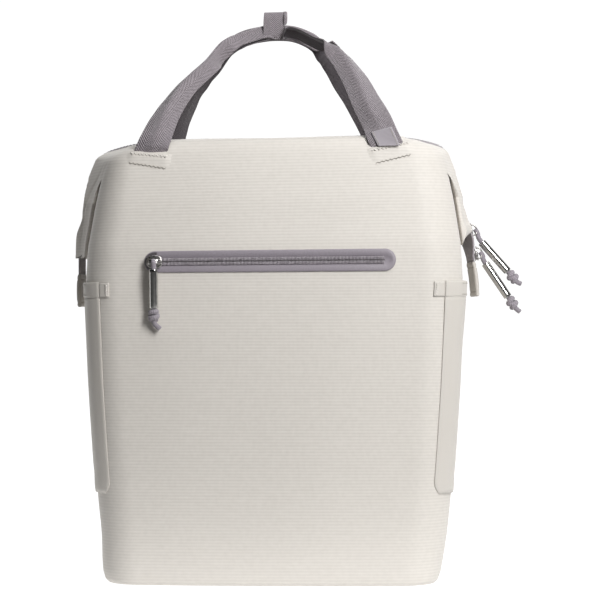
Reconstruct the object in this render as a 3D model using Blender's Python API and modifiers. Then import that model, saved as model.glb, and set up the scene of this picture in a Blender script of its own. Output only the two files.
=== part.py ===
"""Soft cooler backpack: zipped roof with folded ends, two webbing handles, side pockets and a zipped front pocket.

Metres, +Z up. The front faces -Y and the origin is at the middle of the base.
"""

import math
from collections import namedtuple

import bmesh
import bpy
from mathutils import Vector

# Body
HEIGHT = 0.386  # base to roof
WIDTH = 0.332
DEPTH = 0.190
CORNER = 0.036  # radius of the upright corners
WALL = 0.011  # padded wall
CROWN = 0.004  # bulge in the middle of the front and back
TOP_RISE = 0.003  # how far the roof's right edge stands above its middle
GAP = 0.0003  # between pieces that touch

# Roof slot and main zip
SLOT_LENGTH = 0.228
SLOT_WIDTH = 0.014
TAPE_WIDTH = 0.030
TAPE_THICK = 0.0016
TEETH_WIDTH = 0.008
TEETH_THICK = 0.0020
TAIL_LENGTH = 0.036  # tape past the tip of the fold
END_TAB_LENGTH = 0.030
END_TAB_THICK = 0.0046
FOLD_EDGE = 0.003  # cloth thickness at the edge of a fold
FOLD_TIP = 0.017  # half the breadth of its lower end

# Front pocket zip
PANEL_LENGTH = 0.2158
PANEL_HEIGHT = 0.0188
PANEL_MIDDLE = 0.2795  # height of its middle
PANEL_THICK = 0.0014
POCKET_TEETH_HEIGHT = 0.0066
POCKET_TEETH_THICK = 0.0012

# Side pockets
POCKET_BOTTOM = 0.079
POCKET_MOUTH = 0.262
POCKET_CLOTH = 0.0015
POCKET_STEPS = 28
POCKET_ROOM = 0.008  # how far the padded side gives way behind a pocket
POCKET_REACH = 0.61  # share of the corner arc that a pocket covers
BAND_HEIGHT = 0.013
BAND_THICK = 0.0012
TAB_REACH = 0.17  # share of the corner arc that a stitched tab covers

# Handles
STRAP_WIDTH = 0.0265
STRAP_THICK = 0.0016
HANDLE_SPAN = 0.206  # between the middles of a handle's feet
FOOT_DROP = 0.0095  # from the roof down to the feet
HANDLE_FOOT = HEIGHT - FOOT_DROP
HANDLE_RISE = 0.110
WRAP_WIDTH = 0.0184
WRAP_HEIGHT = 0.0255
WRAP_THICK = 0.0016
TAG_LENGTH = 0.0165
TAG_WIDTH = 0.0190
TAG_THICK = 0.0012
TAG_RAISE = 0.002  # from the foot to the tag's lower edge
HANDLE_STEPS = 72
PATCH_WIDTH = 0.034
PATCH_HEIGHT = 0.015
PATCH_THICK = 0.0022
PATCH_TURN = math.radians(10)

# Sliders and pulls
SLIDER_LENGTH = 0.0135
SLIDER_WIDTH = 0.0110
SLIDER_THICK = 0.0032
CORD_DIAMETER = 0.0034
SLEEVE_DIAMETER = 0.0066
SLEEVE_WALL = 0.0010
KNOT_DIAMETER = 0.0105
KNOT_LENGTH = 0.0110

# Shoulder straps on the hidden back
PAD_WIDTH = 0.062
PAD_THICK = 0.011
PAD_STAND = 0.045  # how far the strap arcs away from the back
PAD_SPREAD = 0.078  # from the middle plane to a strap's upper end
ADJUSTER_THICK = 0.005

# Sections of the body: shares of HEIGHT, half the WIDTH, half the DEPTH and CORNER
Section = namedtuple("Section", "height width depth corner")
BODY = (
    Section(0.000, 0.861, 0.900, 0.90),
    Section(0.010, 0.884, 0.935, 0.95),
    Section(0.047, 0.897, 0.955, 1.00),
    Section(0.100, 0.907, 0.968, 1.00),
    Section(0.183, 0.926, 0.985, 1.00),
    Section(0.274, 0.943, 0.995, 1.00),
    Section(0.365, 0.957, 1.000, 1.00),
    Section(0.455, 0.970, 1.000, 1.00),
    Section(0.592, 0.984, 0.998, 1.00),
    Section(0.679, 0.992, 0.992, 1.00),
    Section(0.759, 0.982, 0.978, 1.00),
    Section(0.863, 0.942, 0.915, 0.95),
    Section(0.935, 0.907, 0.850, 0.88),
    Section(0.969, 0.880, 0.808, 0.80),
    Section(0.984, 0.810, 0.785, 0.74),
    Section(0.995, 0.738, 0.755, 0.68),
    Section(1.000, 0.690, 0.705, 0.62),
)

# Ridge of a side fold from its tip up: shares of HEIGHT, half the WIDTH and half the DEPTH
Ridge = namedtuple("Ridge", "height out breadth")
FOLD = (
    Ridge(0.793, 1.037, 0.00),
    Ridge(0.830, 1.016, 0.20),
    Ridge(0.881, 0.997, 0.45),
    Ridge(0.935, 0.960, 0.68),
    Ridge(0.979, 0.930, 0.70),
    Ridge(0.992, 0.840, 0.64),
    Ridge(1.000, 0.750, 0.56),
)

# Bends of a handle from its left foot: shares of half the HANDLE_SPAN, HANDLE_RISE, the foot's depth and
# STRAP_WIDTH where the webbing is folded narrow, and the turn about its own run in degrees
Bend = namedtuple("Bend", "across rise depth width turn")
HANDLE = (
    Bend(-1.010, 0.000, 1.000, 1.00, 0),
    Bend(-0.960, 0.120, 0.985, 1.00, 20),
    Bend(-0.893, 0.272, 0.880, 1.00, 35),
    Bend(-0.827, 0.388, 0.760, 1.00, 48),
    Bend(-0.718, 0.535, 0.600, 0.90, 50),
    Bend(-0.560, 0.680, 0.420, 0.78, 40),
    Bend(-0.490, 0.756, 0.320, 0.72, 22),
    Bend(-0.388, 0.885, 0.170, 0.54, 6),
    Bend(-0.272, 0.950, 0.080, 0.49, 0),
    Bend(-0.087, 0.993, 0.040, 0.45, 0),
    Bend(0.099, 0.996, 0.040, 0.45, 0),
    Bend(0.219, 0.973, 0.055, 0.45, 0),
    Bend(0.348, 0.919, 0.110, 0.50, 0),
    Bend(0.480, 0.856, 0.200, 0.52, 0),
    Bend(0.545, 0.790, 0.270, 0.58, 6),
    Bend(0.615, 0.703, 0.360, 0.78, 20),
    Bend(0.714, 0.552, 0.530, 1.00, 18),
    Bend(0.803, 0.367, 0.720, 1.00, 20),
    Bend(0.880, 0.215, 0.870, 1.00, 24),
    Bend(0.934, 0.104, 0.980, 1.00, 16),
    Bend(0.984, 0.000, 1.000, 1.00, 0),
)

# Section of the loop round both handles: shares of its half depth and WRAP_HEIGHT
Loop = namedtuple("Loop", "depth height")
WRAP = (
    Loop(0.00, 0.00),
    Loop(0.70, 0.01),
    Loop(1.00, 0.10),
    Loop(1.00, 0.50),
    Loop(0.85, 0.80),
    Loop(0.55, 0.97),
    Loop(0.00, 1.00),
    Loop(-0.55, 0.97),
    Loop(-0.85, 0.80),
    Loop(-1.00, 0.50),
    Loop(-1.00, 0.10),
    Loop(-0.70, 0.01),
)

# Shoulder strap from top to bottom: shares of HEIGHT, PAD_STAND, PAD_SPREAD and PAD_WIDTH
Strap = namedtuple("Strap", "height stand spread width")
PAD = (
    Strap(0.930, 0.00, 1.00, 0.80),
    Strap(0.900, 0.30, 1.00, 0.90),
    Strap(0.850, 0.62, 1.02, 1.00),
    Strap(0.760, 0.92, 1.07, 1.00),
    Strap(0.650, 1.00, 1.14, 1.00),
    Strap(0.540, 0.90, 1.22, 0.90),
    Strap(0.440, 0.66, 1.29, 0.66),
)
LOWER_WEB = (
    Strap(0.366, 0.46, 1.34, 0.42),
    Strap(0.250, 0.22, 1.40, 0.42),
    Strap(0.150, 0.08, 1.44, 0.42),
    Strap(0.080, 0.00, 1.46, 0.42),
)

# Pulls, as points chosen along each cord from the middle of its slider: where it leaves the bridge, the sleeve's
# two ends, the knot's end and the cord's end. Each point is (out from the bag, sideways, down along the pull)
Pull = namedtuple("Pull", "eye sleeve_top sleeve_end knot_end tail")
UPPER_PULL = Pull(
    (0.0058, 0, 0.0030), (0.0081, 0, 0.0118), (0.0269, 0, 0.0417), (0.0333, 0, 0.0519), (0.0373, 0, 0.0545)
)
LOWER_PULL = Pull(
    (0.0058, 0, 0.0030), (0.0070, 0, 0.0100), (0.0221, 0, 0.0431), (0.0271, 0, 0.0540), (0.0308, 0, 0.0582)
)
POCKET_PULL = Pull(
    (0.0058, 0, 0.0010), (0.0052, 0, 0.0062), (0.0022, 0, 0.0396), (0.0011, 0, 0.0515), (0.0006, 0.0055, 0.0575)
)

FABRIC = ("c9c4be", 0.62, 0.0)
WEBBING = ("87817f", 0.80, 0.0)
ZIP_TAPE = ("7d7674", 0.70, 0.0)
RUBBER = ("88817f", 0.55, 0.0)
LIGHT_PATCH = ("d2cdc6", 0.60, 0.0)
METAL = ("b9b9bc", 0.25, 1.0)
CORD = ("8a8487", 0.80, 0.0)
PAD_CLOTH = ("a5a09b", 0.80, 0.0)


def read(table, key, at):
    """The named column of a table at a share of its first column, between its rows."""
    rows = [(row[0], getattr(row, key)) for row in table]
    if at <= rows[0][0]:
        return rows[0][1]
    for (low, first), (high, second) in zip(rows, rows[1:]):
        if at <= high:
            return first + (second - first) * (at - low) / (high - low)
    return rows[-1][1]


def half_width(z):
    return read(BODY, "width", z / HEIGHT) * WIDTH / 2


def half_depth(z):
    return read(BODY, "depth", z / HEIGHT) * DEPTH / 2


def corner(z):
    return read(BODY, "corner", z / HEIGHT) * CORNER


def ramp(value, start, end):
    share = min(max((value - start) / (end - start), 0), 1)
    return share * share * (3 - 2 * share)


def pocket_room(z):
    """How far the side gives way behind a pocket at this height."""
    low = ramp(z, POCKET_BOTTOM, POCKET_BOTTOM + 3 * POCKET_ROOM)
    high = 1 - ramp(z, POCKET_MOUTH, POCKET_MOUTH + 4 * POCKET_ROOM)
    return POCKET_ROOM * low * high


def skin(u, z, offset=0.0):
    """A point of the body's side at one height, moved outwards by offset.

    u runs round half a section and is negative on the left: 0 to 1 from the middle of the front to the corner,
    to 2 along the corner, to 4 along the side, to 5 along the rear corner and to 6 at the middle of the back.
    """
    hand = 1 if u >= 0 else -1
    u = abs(u)
    width, depth, radius = half_width(z), half_depth(z), corner(z)
    if u <= 1 or u > 5:
        share = u if u <= 1 else 6 - u
        face = -1 if u <= 1 else 1
        out = offset + CROWN * (1 - share * share)
        return Vector((hand * share * (width - radius), face * (depth + out), z))
    if 2 < u <= 4:
        out = offset - pocket_room(z) * (1 - (u - 3) ** 2)
        return Vector((hand * (width + out), (u - 3) * (depth - radius), z))
    turn = (u - 1) * math.pi / 2 if u <= 2 else (5 - u) * math.pi / 2
    face = -1 if u <= 2 else 1
    reach = radius + offset
    x = width - radius + reach * math.sin(turn)
    return Vector((hand * x, face * (depth - radius + reach * math.cos(turn)), z))


def side_x(y, z):
    """How far out the side stands at a depth, without the room behind a pocket."""
    width, straight, radius = half_width(z), half_depth(z) - corner(z), corner(z)
    past = min(max(abs(y) - straight, 0), radius)
    return width - radius + math.sqrt(radius * radius - past * past)


def front_y(x, z):
    """Depth of the front face at a place on it."""
    width, depth, radius = half_width(z), half_depth(z), corner(z)
    straight = width - radius
    if abs(x) <= straight:
        return -depth - CROWN * (1 - (x / straight) ** 2)
    past = min(abs(x) - straight, radius)
    return -(depth - radius) - math.sqrt(radius * radius - past * past)


def leaned(point):
    """The point after the soft top has risen to the right."""
    weight = ramp(point[2], 0.55 * HEIGHT, 0.9 * HEIGHT)
    return Vector((point[0], point[1], point[2] + TOP_RISE * weight * point[0] / (WIDTH / 2)))


def smooth_run(rows, share):
    """A tuple between the rows of a table, on a smooth curve through them, at a share of its run."""
    at = min(share * (len(rows) - 1), len(rows) - 1 - 1e-9)
    index = int(at)
    t = at - index
    before, first = rows[max(index - 1, 0)], rows[index]
    second, after = rows[index + 1], rows[min(index + 2, len(rows) - 1)]
    return [
        0.5 * (2 * b + (c - a) * t + (2 * a - 5 * b + 4 * c - d) * t * t + (3 * b - a - 3 * c + d) * t * t * t)
        for a, b, c, d in zip(before, first, second, after)
    ]


def finish(colour, roughness, metallic):
    """The material of one colour, made once."""
    name = f"finish_{colour}"
    material = bpy.data.materials.get(name)
    if material is None:
        material = bpy.data.materials.new(name)
        material.use_nodes = True
        shader = material.node_tree.nodes["Principled BSDF"]
        levels = [int(colour[i : i + 2], 16) / 255 for i in (0, 2, 4)]
        linear = [((level + 0.055) / 1.055) ** 2.4 for level in levels]
        shader.inputs["Base Color"].default_value = (*linear, 1)
        shader.inputs["Roughness"].default_value = roughness
        shader.inputs["Metallic"].default_value = metallic
    return material


def collection(name, hidden=False):
    found = bpy.data.collections.get(name)
    if found is None:
        found = bpy.data.collections.new(name)
        bpy.context.scene.collection.children.link(found)
        found.hide_render = hidden
    return found


def keep(obj, look):
    """Files a finished object with the backpack and gives it its material."""
    for holder in list(obj.users_collection):
        holder.objects.unlink(obj)
    collection("cooler_backpack").objects.link(obj)
    obj.data.materials.clear()
    obj.data.materials.append(finish(*look))
    return obj


def keep_cutter(obj):
    for holder in list(obj.users_collection):
        holder.objects.unlink(obj)
    collection("cutters", hidden=True).objects.link(obj)
    obj.hide_render = True
    obj.display_type = "WIRE"
    return obj


def mesh_object(name, mesh):
    bmesh.ops.recalc_face_normals(mesh, faces=mesh.faces)
    data = bpy.data.meshes.new(name)
    mesh.to_mesh(data)
    mesh.free()
    obj = bpy.data.objects.new(name, data)
    bpy.context.scene.collection.objects.link(obj)
    return obj


def loft(name, rings, closed=False):
    """A solid through rings of equally many points, capped at both ends or joined end to start."""
    mesh = bmesh.new()
    loops = [[mesh.verts.new(leaned(point)) for point in ring] for ring in rings]
    pairs = list(zip(loops, loops[1:] + loops[:1] if closed else loops[1:]))
    for low, high in pairs:
        for i in range(len(low)):
            j = (i + 1) % len(low)
            mesh.faces.new((low[i], low[j], high[j], high[i]))
    if not closed:
        mesh.faces.new(loops[0])
        mesh.faces.new(loops[-1])
    return mesh_object(name, mesh)


def slab(name, surface, along, across, inner, outer):
    """A closed sheet between two offsets of surface(a, b, offset), where a and b run from 0 to 1."""
    rings = []
    for i in range(along + 1):
        ring = [surface(i / along, j / across, inner) for j in range(across + 1)]
        ring += [surface(i / along, j / across, outer) for j in range(across, -1, -1)]
        rings.append(ring)
    return loft(name, rings)


def ribbon(name, stations):
    """A strap through stations of (middle, across, half width, half thickness)."""
    rings = []
    for i, (middle, across, half, thick) in enumerate(stations):
        before = stations[max(i - 1, 0)][0]
        after = stations[min(i + 1, len(stations) - 1)][0]
        normal = (after - before).cross(across).normalized() * thick
        edge = across.normalized() * half
        rings.append([middle + edge + normal, middle + edge - normal, middle - edge - normal, middle - edge + normal])
    return loft(name, rings)


def box(name, middle, size, bevel=0.0):
    bpy.ops.mesh.primitive_cube_add(size=1, location=middle)
    obj = bpy.context.active_object
    obj.name = name
    for vertex in obj.data.vertices:
        vertex.co = [part * length for part, length in zip(vertex.co, size)]
    if bevel:
        rounding = obj.modifiers.new("rounding", "BEVEL")
        rounding.width = bevel
        rounding.segments = 2
    return obj


def body_rings(offset, heights, step):
    """Rings of the body's outline, moved outwards by offset."""
    half = [i / step for i in range(6 * step + 1)]
    rounds = half + [-u for u in half[-2:0:-1]]
    return [[skin(u, z, offset) for u in rounds] for z in heights]


def make_shell():
    heights = {row.height * HEIGHT for row in BODY}
    heights |= {POCKET_BOTTOM + 3 * POCKET_ROOM * share for share in (0, 0.33, 0.67, 1)}
    heights |= {POCKET_MOUTH + 4 * POCKET_ROOM * share for share in (0, 0.33, 0.67, 1)}
    shell = keep(loft("shell", body_rings(0, sorted(heights), 4)), FABRIC)
    top = HEIGHT - 1.25 * WALL
    inner = [WALL] + [z for z in sorted(heights) if WALL < z < top - WALL / 2] + [top]
    cavity = keep_cutter(loft("cavity", body_rings(-WALL, inner, 2)))
    slot = keep_cutter(box("slot", (0, 0, HEIGHT), (SLOT_LENGTH, SLOT_WIDTH, 4 * WALL)))
    for cutter in (cavity, slot):
        cut = shell.modifiers.new(cutter.name, "BOOLEAN")
        cut.operation = "DIFFERENCE"
        cut.object = cutter
    return shell


def fold_ridge(z):
    return read(FOLD, "out", z / HEIGHT) * WIDTH / 2


def fold_breadth(z):
    return max(read(FOLD, "breadth", z / HEIGHT) * DEPTH / 2, FOLD_TIP)


def fold_in(y, z):
    """How far out a fold's inner face stands, with more room where the roof rounds over and lies nearly level."""
    return side_x(y, z) + 3 * GAP * (1 + 3 * ramp(z, 0.96 * HEIGHT, HEIGHT))


def fold_out(y, z):
    """How far out a fold's outer face stands: full over the zip tape, down to its cloth edge in front and behind."""
    flat = TAPE_WIDTH / 2
    fall = min(max((abs(y) - flat) / max(fold_breadth(z) - flat, flat / 8), 0), 1)
    low = fold_in(y, z) + FOLD_EDGE
    high = max(fold_ridge(z), low)
    return high + (low - high) * fall


def make_side_fold(name, hand):
    steps = 22
    shares = {row.height for row in FOLD} | {row.height for row in BODY if row.height > FOLD[0].height}
    shares = sorted(shares)
    shares = sorted(shares + [(low + high) / 2 for low, high in zip(shares, shares[1:])])
    heights = [share * HEIGHT for share in shares]
    rings = []
    for z in heights:
        breadth = fold_breadth(z)
        depths = [breadth * (2 * i / steps - 1) for i in range(steps + 1)]
        ring = [Vector((hand * fold_in(y, z), y, z)) for y in depths]
        ring += [Vector((hand * fold_out(y, z), y, z)) for y in reversed(depths)]
        rings.append(ring)
    return keep(loft(name, rings), FABRIC)


def zip_route():
    """The main zip's run in the middle plane from the left tail's end over the roof to the right tail's end."""
    tip, top = FOLD[0].height * HEIGHT, (FOLD[-1].out * WIDTH / 2, HEIGHT)
    ridge = [(row.out * WIDTH / 2, row.height * HEIGHT) for row in FOLD]
    tail_x = FOLD[0].out * WIDTH / 2
    left = [(-tail_x, tip - TAIL_LENGTH), (-tail_x, tip - TAIL_LENGTH / 2)] + [(-x, z) for x, z in ridge[:-1]]
    right = [(x, z) for x, z in reversed(ridge[:-1])]
    right += [(tail_x + TAIL_LENGTH / 12, tip - TAIL_LENGTH / 2), (tail_x + TAIL_LENGTH / 7, tip - TAIL_LENGTH)]
    return left + [(-top[0], top[1]), (top[0], top[1])] + right


def route_frame(route, index):
    """A point of a route in the middle plane and its outward direction there."""
    before, after = route[max(index - 1, 0)], route[min(index + 1, len(route) - 1)]
    run = Vector((after[0] - before[0], 0, after[1] - before[1])).normalized()
    return Vector((route[index][0], 0, route[index][1])), Vector((-run.z, 0, run.x))


def zip_strip(name, route, width, inner, outer, look):
    rings = []
    for index in range(len(route)):
        point, out = route_frame(route, index)
        edge = Vector((0, width / 2, 0))
        rings.append([point + out * inner - edge, point + out * inner + edge])
        rings[-1] += [point + out * outer + edge, point + out * outer - edge]
    return keep(loft(name, rings), look)


def make_main_zip():
    route = zip_route()
    tape_top = GAP + TAPE_THICK
    zip_strip("main_zip_tape", route, TAPE_WIDTH, GAP, tape_top, ZIP_TAPE)
    zip_strip("main_zip_teeth", route[1:-1], TEETH_WIDTH, tape_top + GAP, tape_top + GAP + TEETH_THICK, ZIP_TAPE)
    for name, end, back in (("main_zip_end_left", 0, 1), ("main_zip_end_right", -1, -2)):
        start = Vector((route[end][0], 0, route[end][1]))
        run = (start - Vector((route[back][0], 0, route[back][1]))).normalized()
        out = route_frame(route, end % len(route))[1]
        middle = start + run * (GAP + END_TAB_LENGTH / 2) + out * (GAP + TAPE_THICK / 2)
        half = run * END_TAB_LENGTH / 2
        edge = Vector((0, TAPE_WIDTH / 2, 0))
        keep(ribbon(name, [(middle + half * s, edge, TAPE_WIDTH / 2, END_TAB_THICK / 2) for s in (-1, 0, 1)]), LIGHT_PATCH)


def slider(name, middle, tilt):
    """A slider with its bridge, facing out along +X before it is turned about Y, or along -Y when tilt is None."""
    size = (SLIDER_THICK, SLIDER_WIDTH, SLIDER_LENGTH)
    body = box(name, (0, 0, 0), size, SLIDER_THICK / 4)
    bridge = box(f"{name}_bridge", (0.7 * SLIDER_THICK, 0, 0), (SLIDER_THICK, SLIDER_WIDTH / 3, 0.7 * SLIDER_LENGTH))
    keep_cutter(bridge)
    join = body.modifiers.new("bridge", "BOOLEAN")
    join.operation = "UNION"
    join.object = bridge
    for obj in (body, bridge):
        if tilt is None:
            obj.rotation_euler = (math.radians(90), 0, math.radians(-90))
        else:
            obj.rotation_euler = (0, tilt, 0)
    forward = body.rotation_euler.to_matrix()
    body.location = middle
    bridge.location = middle + forward @ Vector((0.7 * SLIDER_THICK, 0, 0))
    return keep(body, METAL)


def turned(name, start, end, profile, bore, look):
    """A ring turned about the line from start to end, from a profile of (share of its length, radius)."""
    length = (end - start).length
    outer = [(radius, share * length) for share, radius in reversed(profile)]
    inner = [(bore, 0), (bore, length)]
    mesh = bmesh.new()
    verts = [mesh.verts.new((x, 0, z)) for x, z in outer + inner]
    for i in range(len(verts)):
        mesh.edges.new((verts[i], verts[(i + 1) % len(verts)]))
    data = bpy.data.meshes.new(name)
    mesh.to_mesh(data)
    mesh.free()
    obj = bpy.data.objects.new(name, data)
    bpy.context.scene.collection.objects.link(obj)
    turn = obj.modifiers.new("turn", "SCREW")
    turn.steps = turn.render_steps = 12
    turn.use_merge_vertices = True
    turn.merge_threshold = 0.00001
    turn.use_normal_calculate = False
    obj.location = start
    obj.rotation_mode = "QUATERNION"
    obj.rotation_quaternion = (end - start).to_track_quat("Z", "Y")
    return keep(obj, look)


def cord(name, points, look):
    """A round cord on a smooth curve through its chosen points."""
    length = sum((b - a).length for a, b in zip(points, points[1:]))
    count = max(int(length / (2.5 * CORD_DIAMETER)), 4)
    run = [smooth_run([tuple(p) for p in points], i / count) for i in range(count + 1)]
    curve = bpy.data.curves.new(name, "CURVE")
    curve.dimensions = "3D"
    curve.bevel_depth = CORD_DIAMETER / 2
    curve.bevel_resolution = 2
    curve.use_fill_caps = True
    spline = curve.splines.new("POLY")
    spline.points.add(len(run) - 1)
    for point, place in zip(spline.points, run):
        point.co = (*place, 1)
    obj = bpy.data.objects.new(name, curve)
    bpy.context.scene.collection.objects.link(obj)
    return keep(obj, look)


def make_pull(kind, middle, pull, out, down):
    """A pull whose slider faces along out, with the zip or gravity leading it down."""
    across = out.cross(down)
    points = [middle + out * point[0] + across * point[1] + down * point[2] for point in pull]
    eye, sleeve_top, sleeve_end, knot_end, tail = points
    run = (knot_end - sleeve_end).normalized()
    cord(f"{kind}_pull_cord", [eye, sleeve_top, sleeve_end, knot_end, tail], CORD)
    radius = SLEEVE_DIAMETER / 2
    straight = [(0, 0.9 * radius), (0.04, radius), (0.96, radius), (1, 0.9 * radius)]
    turned(f"{kind}_pull_sleeve", sleeve_top, sleeve_end, straight, radius - SLEEVE_WALL, METAL)
    radius = KNOT_DIAMETER / 2
    round_knot = [(0, 0.6 * radius), (0.2, 0.95 * radius), (0.5, radius), (0.8, 0.95 * radius), (1, 0.6 * radius)]
    start = sleeve_end + run * 2 * GAP
    bore = CORD_DIAMETER / 2 + 2 * GAP
    turned(f"{kind}_pull_knot", start, start + run * KNOT_LENGTH, round_knot, bore, CORD)


def make_main_sliders():
    tape_out = 2 * GAP + TAPE_THICK + TEETH_THICK + GAP + SLIDER_THICK / 2
    route = zip_route()
    tip, below = Vector((route[-3][0], 0, route[-3][1])), Vector((route[-2][0], 0, route[-2][1]))
    run = (below - tip).normalized()
    out = Vector((-run.z, 0, run.x))
    tilt = -math.atan2(out.z, out.x)
    for kind, share, pull in (("upper", 0.1, UPPER_PULL), ("lower", 1.6, LOWER_PULL)):
        middle = leaned(tip + run * share * SLIDER_LENGTH + out * tape_out)
        slider(f"main_slider_{kind}", middle, tilt)
        make_pull(kind, middle, pull, out, run)


def panel_stations(length, height, steps):
    """Places along a strip with round ends, as (x, half height)."""
    radius = height / 2
    turns = [math.pi / 2 * (i + 0.4) / (steps + 0.4) for i in range(steps + 1)]
    end = [(length / 2 - radius + radius * math.cos(turn), radius * math.sin(turn)) for turn in turns]
    left = [(-x, half) for x, half in end]
    straight = length / 2 - radius
    middle = [(straight * (2 * i / 12 - 1), radius) for i in range(1, 12)]
    return left + middle + end[::-1]


def make_pocket_zip():
    stations = panel_stations(PANEL_LENGTH, PANEL_HEIGHT, 5)

    def panel(a, b, offset):
        x, half = stations[round(a * (len(stations) - 1))]
        z = PANEL_MIDDLE + half * (2 * b - 1)
        return Vector((x, front_y(x, z) - offset, z))

    keep(slab("pocket_zip_panel", panel, len(stations) - 1, 2, GAP, GAP + PANEL_THICK), RUBBER)
    straight = PANEL_LENGTH - PANEL_HEIGHT

    def teeth(a, b, offset):
        x, z = straight * (a - 0.5), PANEL_MIDDLE + POCKET_TEETH_HEIGHT * (b - 0.5)
        return Vector((x, front_y(x, z) - offset, z))

    low = 2 * GAP + PANEL_THICK
    high = low + POCKET_TEETH_THICK
    keep(slab("pocket_zip_teeth", teeth, 14, 1, low, high), ZIP_TAPE)
    x = -straight / 2
    proudest = front_y(abs(x) - SLIDER_LENGTH / 2, PANEL_MIDDLE - SLIDER_WIDTH / 2)
    middle = Vector((x, proudest - high - GAP - SLIDER_THICK / 2, PANEL_MIDDLE))
    slider("pocket_slider", leaned(middle), None)
    make_pull("pocket", leaned(middle), POCKET_PULL, Vector((0, -1, 0)), Vector((0, 0, -1)))


def make_side_pocket(side, hand):
    front, rear = 2 - POCKET_REACH, 4 + POCKET_REACH
    heights = POCKET_MOUTH - POCKET_BOTTOM

    def cloth(a, b, offset):
        """The pocket spans the side where the padding gives way, so its room is taken out again."""
        u, z = front + (rear - front) * b, POCKET_BOTTOM + heights * a
        point = skin(hand * u, z, offset)
        if 2 < u <= 4:
            point.x += hand * pocket_room(z) * (1 - (u - 3) ** 2)
        return point

    def band(a, b, offset):
        return cloth(1 - BAND_HEIGHT / heights * (1 - a), b, offset)

    keep(slab(f"side_pocket_{side}", cloth, 8, POCKET_STEPS, GAP, GAP + POCKET_CLOTH), FABRIC)
    low = 2 * GAP + POCKET_CLOTH
    keep(slab(f"pocket_band_{side}", band, 1, POCKET_STEPS, low, low + BAND_THICK), FABRIC)

    def tab(a, b, offset):
        u = front - GAP / CORNER - TAB_REACH * b
        return skin(hand * u, POCKET_MOUTH - BAND_HEIGHT * (1 - a), offset)

    keep(slab(f"pocket_tab_{side}", tab, 1, 3, GAP, GAP + POCKET_CLOTH), LIGHT_PATCH)


def foot_depth():
    """Depth of a handle's middle plane where it leaves the body."""
    return -front_y(HANDLE_SPAN / 2 - STRAP_WIDTH / 2, HANDLE_FOOT) + GAP + STRAP_THICK / 2


def handle_stations(face, count):
    """Stations of a handle on the front (face -1) or the back (face 1)."""
    stations = []
    rows = [smooth_run(HANDLE, i / count) for i in range(count + 1)]
    places = []
    for across, rise, depth, _, _ in rows:
        y = face * (foot_depth() * depth)
        places.append(Vector((across * HANDLE_SPAN / 2, y, HANDLE_FOOT + rise * HANDLE_RISE)))
    for i, (_, _, _, width, turn) in enumerate(rows):
        run = places[min(i + 1, count)] - places[max(i - 1, 0)]
        square = Vector((-run.z, 0, run.x)).normalized()
        level = Vector((math.copysign(1, places[i].x), 0, 0))
        outward = level.lerp(square, ramp(places[i].z, HANDLE_FOOT, HANDLE_FOOT + STRAP_WIDTH)).normalized()
        angle = math.radians(max(turn, 0))
        across = outward * math.cos(angle) - Vector((0, face, 0)) * math.sin(angle)
        thick = STRAP_THICK / max(min(width, 1), 0.5) / 2
        stations.append((places[i], across, STRAP_WIDTH / 2 * min(width, 1) / outward.dot(square), thick))
    return stations


def make_handles():
    for name, face in (("handle_front", -1), ("handle_rear", 1)):
        keep(ribbon(name, handle_stations(face, HANDLE_STEPS)), WEBBING)


def make_wrap():
    thick = 2 * STRAP_THICK
    folded = STRAP_WIDTH * HANDLE[9].width / 2
    floor = HANDLE_FOOT + HANDLE_RISE * HANDLE[9].rise - folded - 4 * GAP - WRAP_THICK
    half = foot_depth() * HANDLE[9].depth + thick / 2 + 3 * GAP + WRAP_THICK
    rings = []
    for i, row in enumerate(WRAP):
        before, after = WRAP[i - 1], WRAP[(i + 1) % len(WRAP)]
        run = Vector((0, (after.depth - before.depth) * half, (after.height - before.height) * WRAP_HEIGHT))
        inward = Vector((0, -run.z, run.y)).normalized() * WRAP_THICK
        outer = Vector((0, row.depth * half, floor + row.height * WRAP_HEIGHT))
        edge = Vector((WRAP_WIDTH / 2, 0, 0))
        rings.append([outer - edge, outer + edge, outer + inward + edge, outer + inward - edge])
    return keep(loft("handle_wrap", rings, closed=True), WEBBING)


def make_tag():
    """A small folded label over the front of the right leg."""
    stations = handle_stations(-1, HANDLE_STEPS)
    rings = []
    for i, (middle, across, _, thick) in enumerate(stations[:-1]):
        if middle.x < 0 or not TAG_RAISE < middle.z - HANDLE_FOOT < TAG_RAISE + TAG_LENGTH:
            continue
        normal = (stations[i + 1][0] - stations[i - 1][0]).cross(across).normalized()
        near, far = normal * (thick + 2 * GAP), normal * (thick + 2 * GAP + TAG_THICK)
        edge = across.normalized() * TAG_WIDTH / 2
        rings.append([middle - edge + near, middle + edge + near, middle + edge + far, middle - edge + far])
    return keep(loft("handle_tag", rings), LIGHT_PATCH)


def make_anchor_patches():
    drop = PATCH_HEIGHT / 2 + PATCH_WIDTH / 2 * math.sin(PATCH_TURN) + GAP
    for side, hand in (("left", -1), ("right", 1)):
        for end, face in (("front", -1), ("rear", 1)):

            def patch(a, b, offset):
                along, up = PATCH_WIDTH * (a - 0.5), PATCH_HEIGHT * (b - 0.5)
                turn = hand * PATCH_TURN
                x = hand * HANDLE_SPAN / 2 + along * math.cos(turn) - up * math.sin(turn)
                z = HANDLE_FOOT - drop + along * math.sin(turn) + up * math.cos(turn)
                return Vector((x, -face * (front_y(x, z) - offset), z))

            keep(slab(f"anchor_patch_{end}_{side}", patch, 8, 4, GAP, GAP + PATCH_THICK), LIGHT_PATCH)


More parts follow.
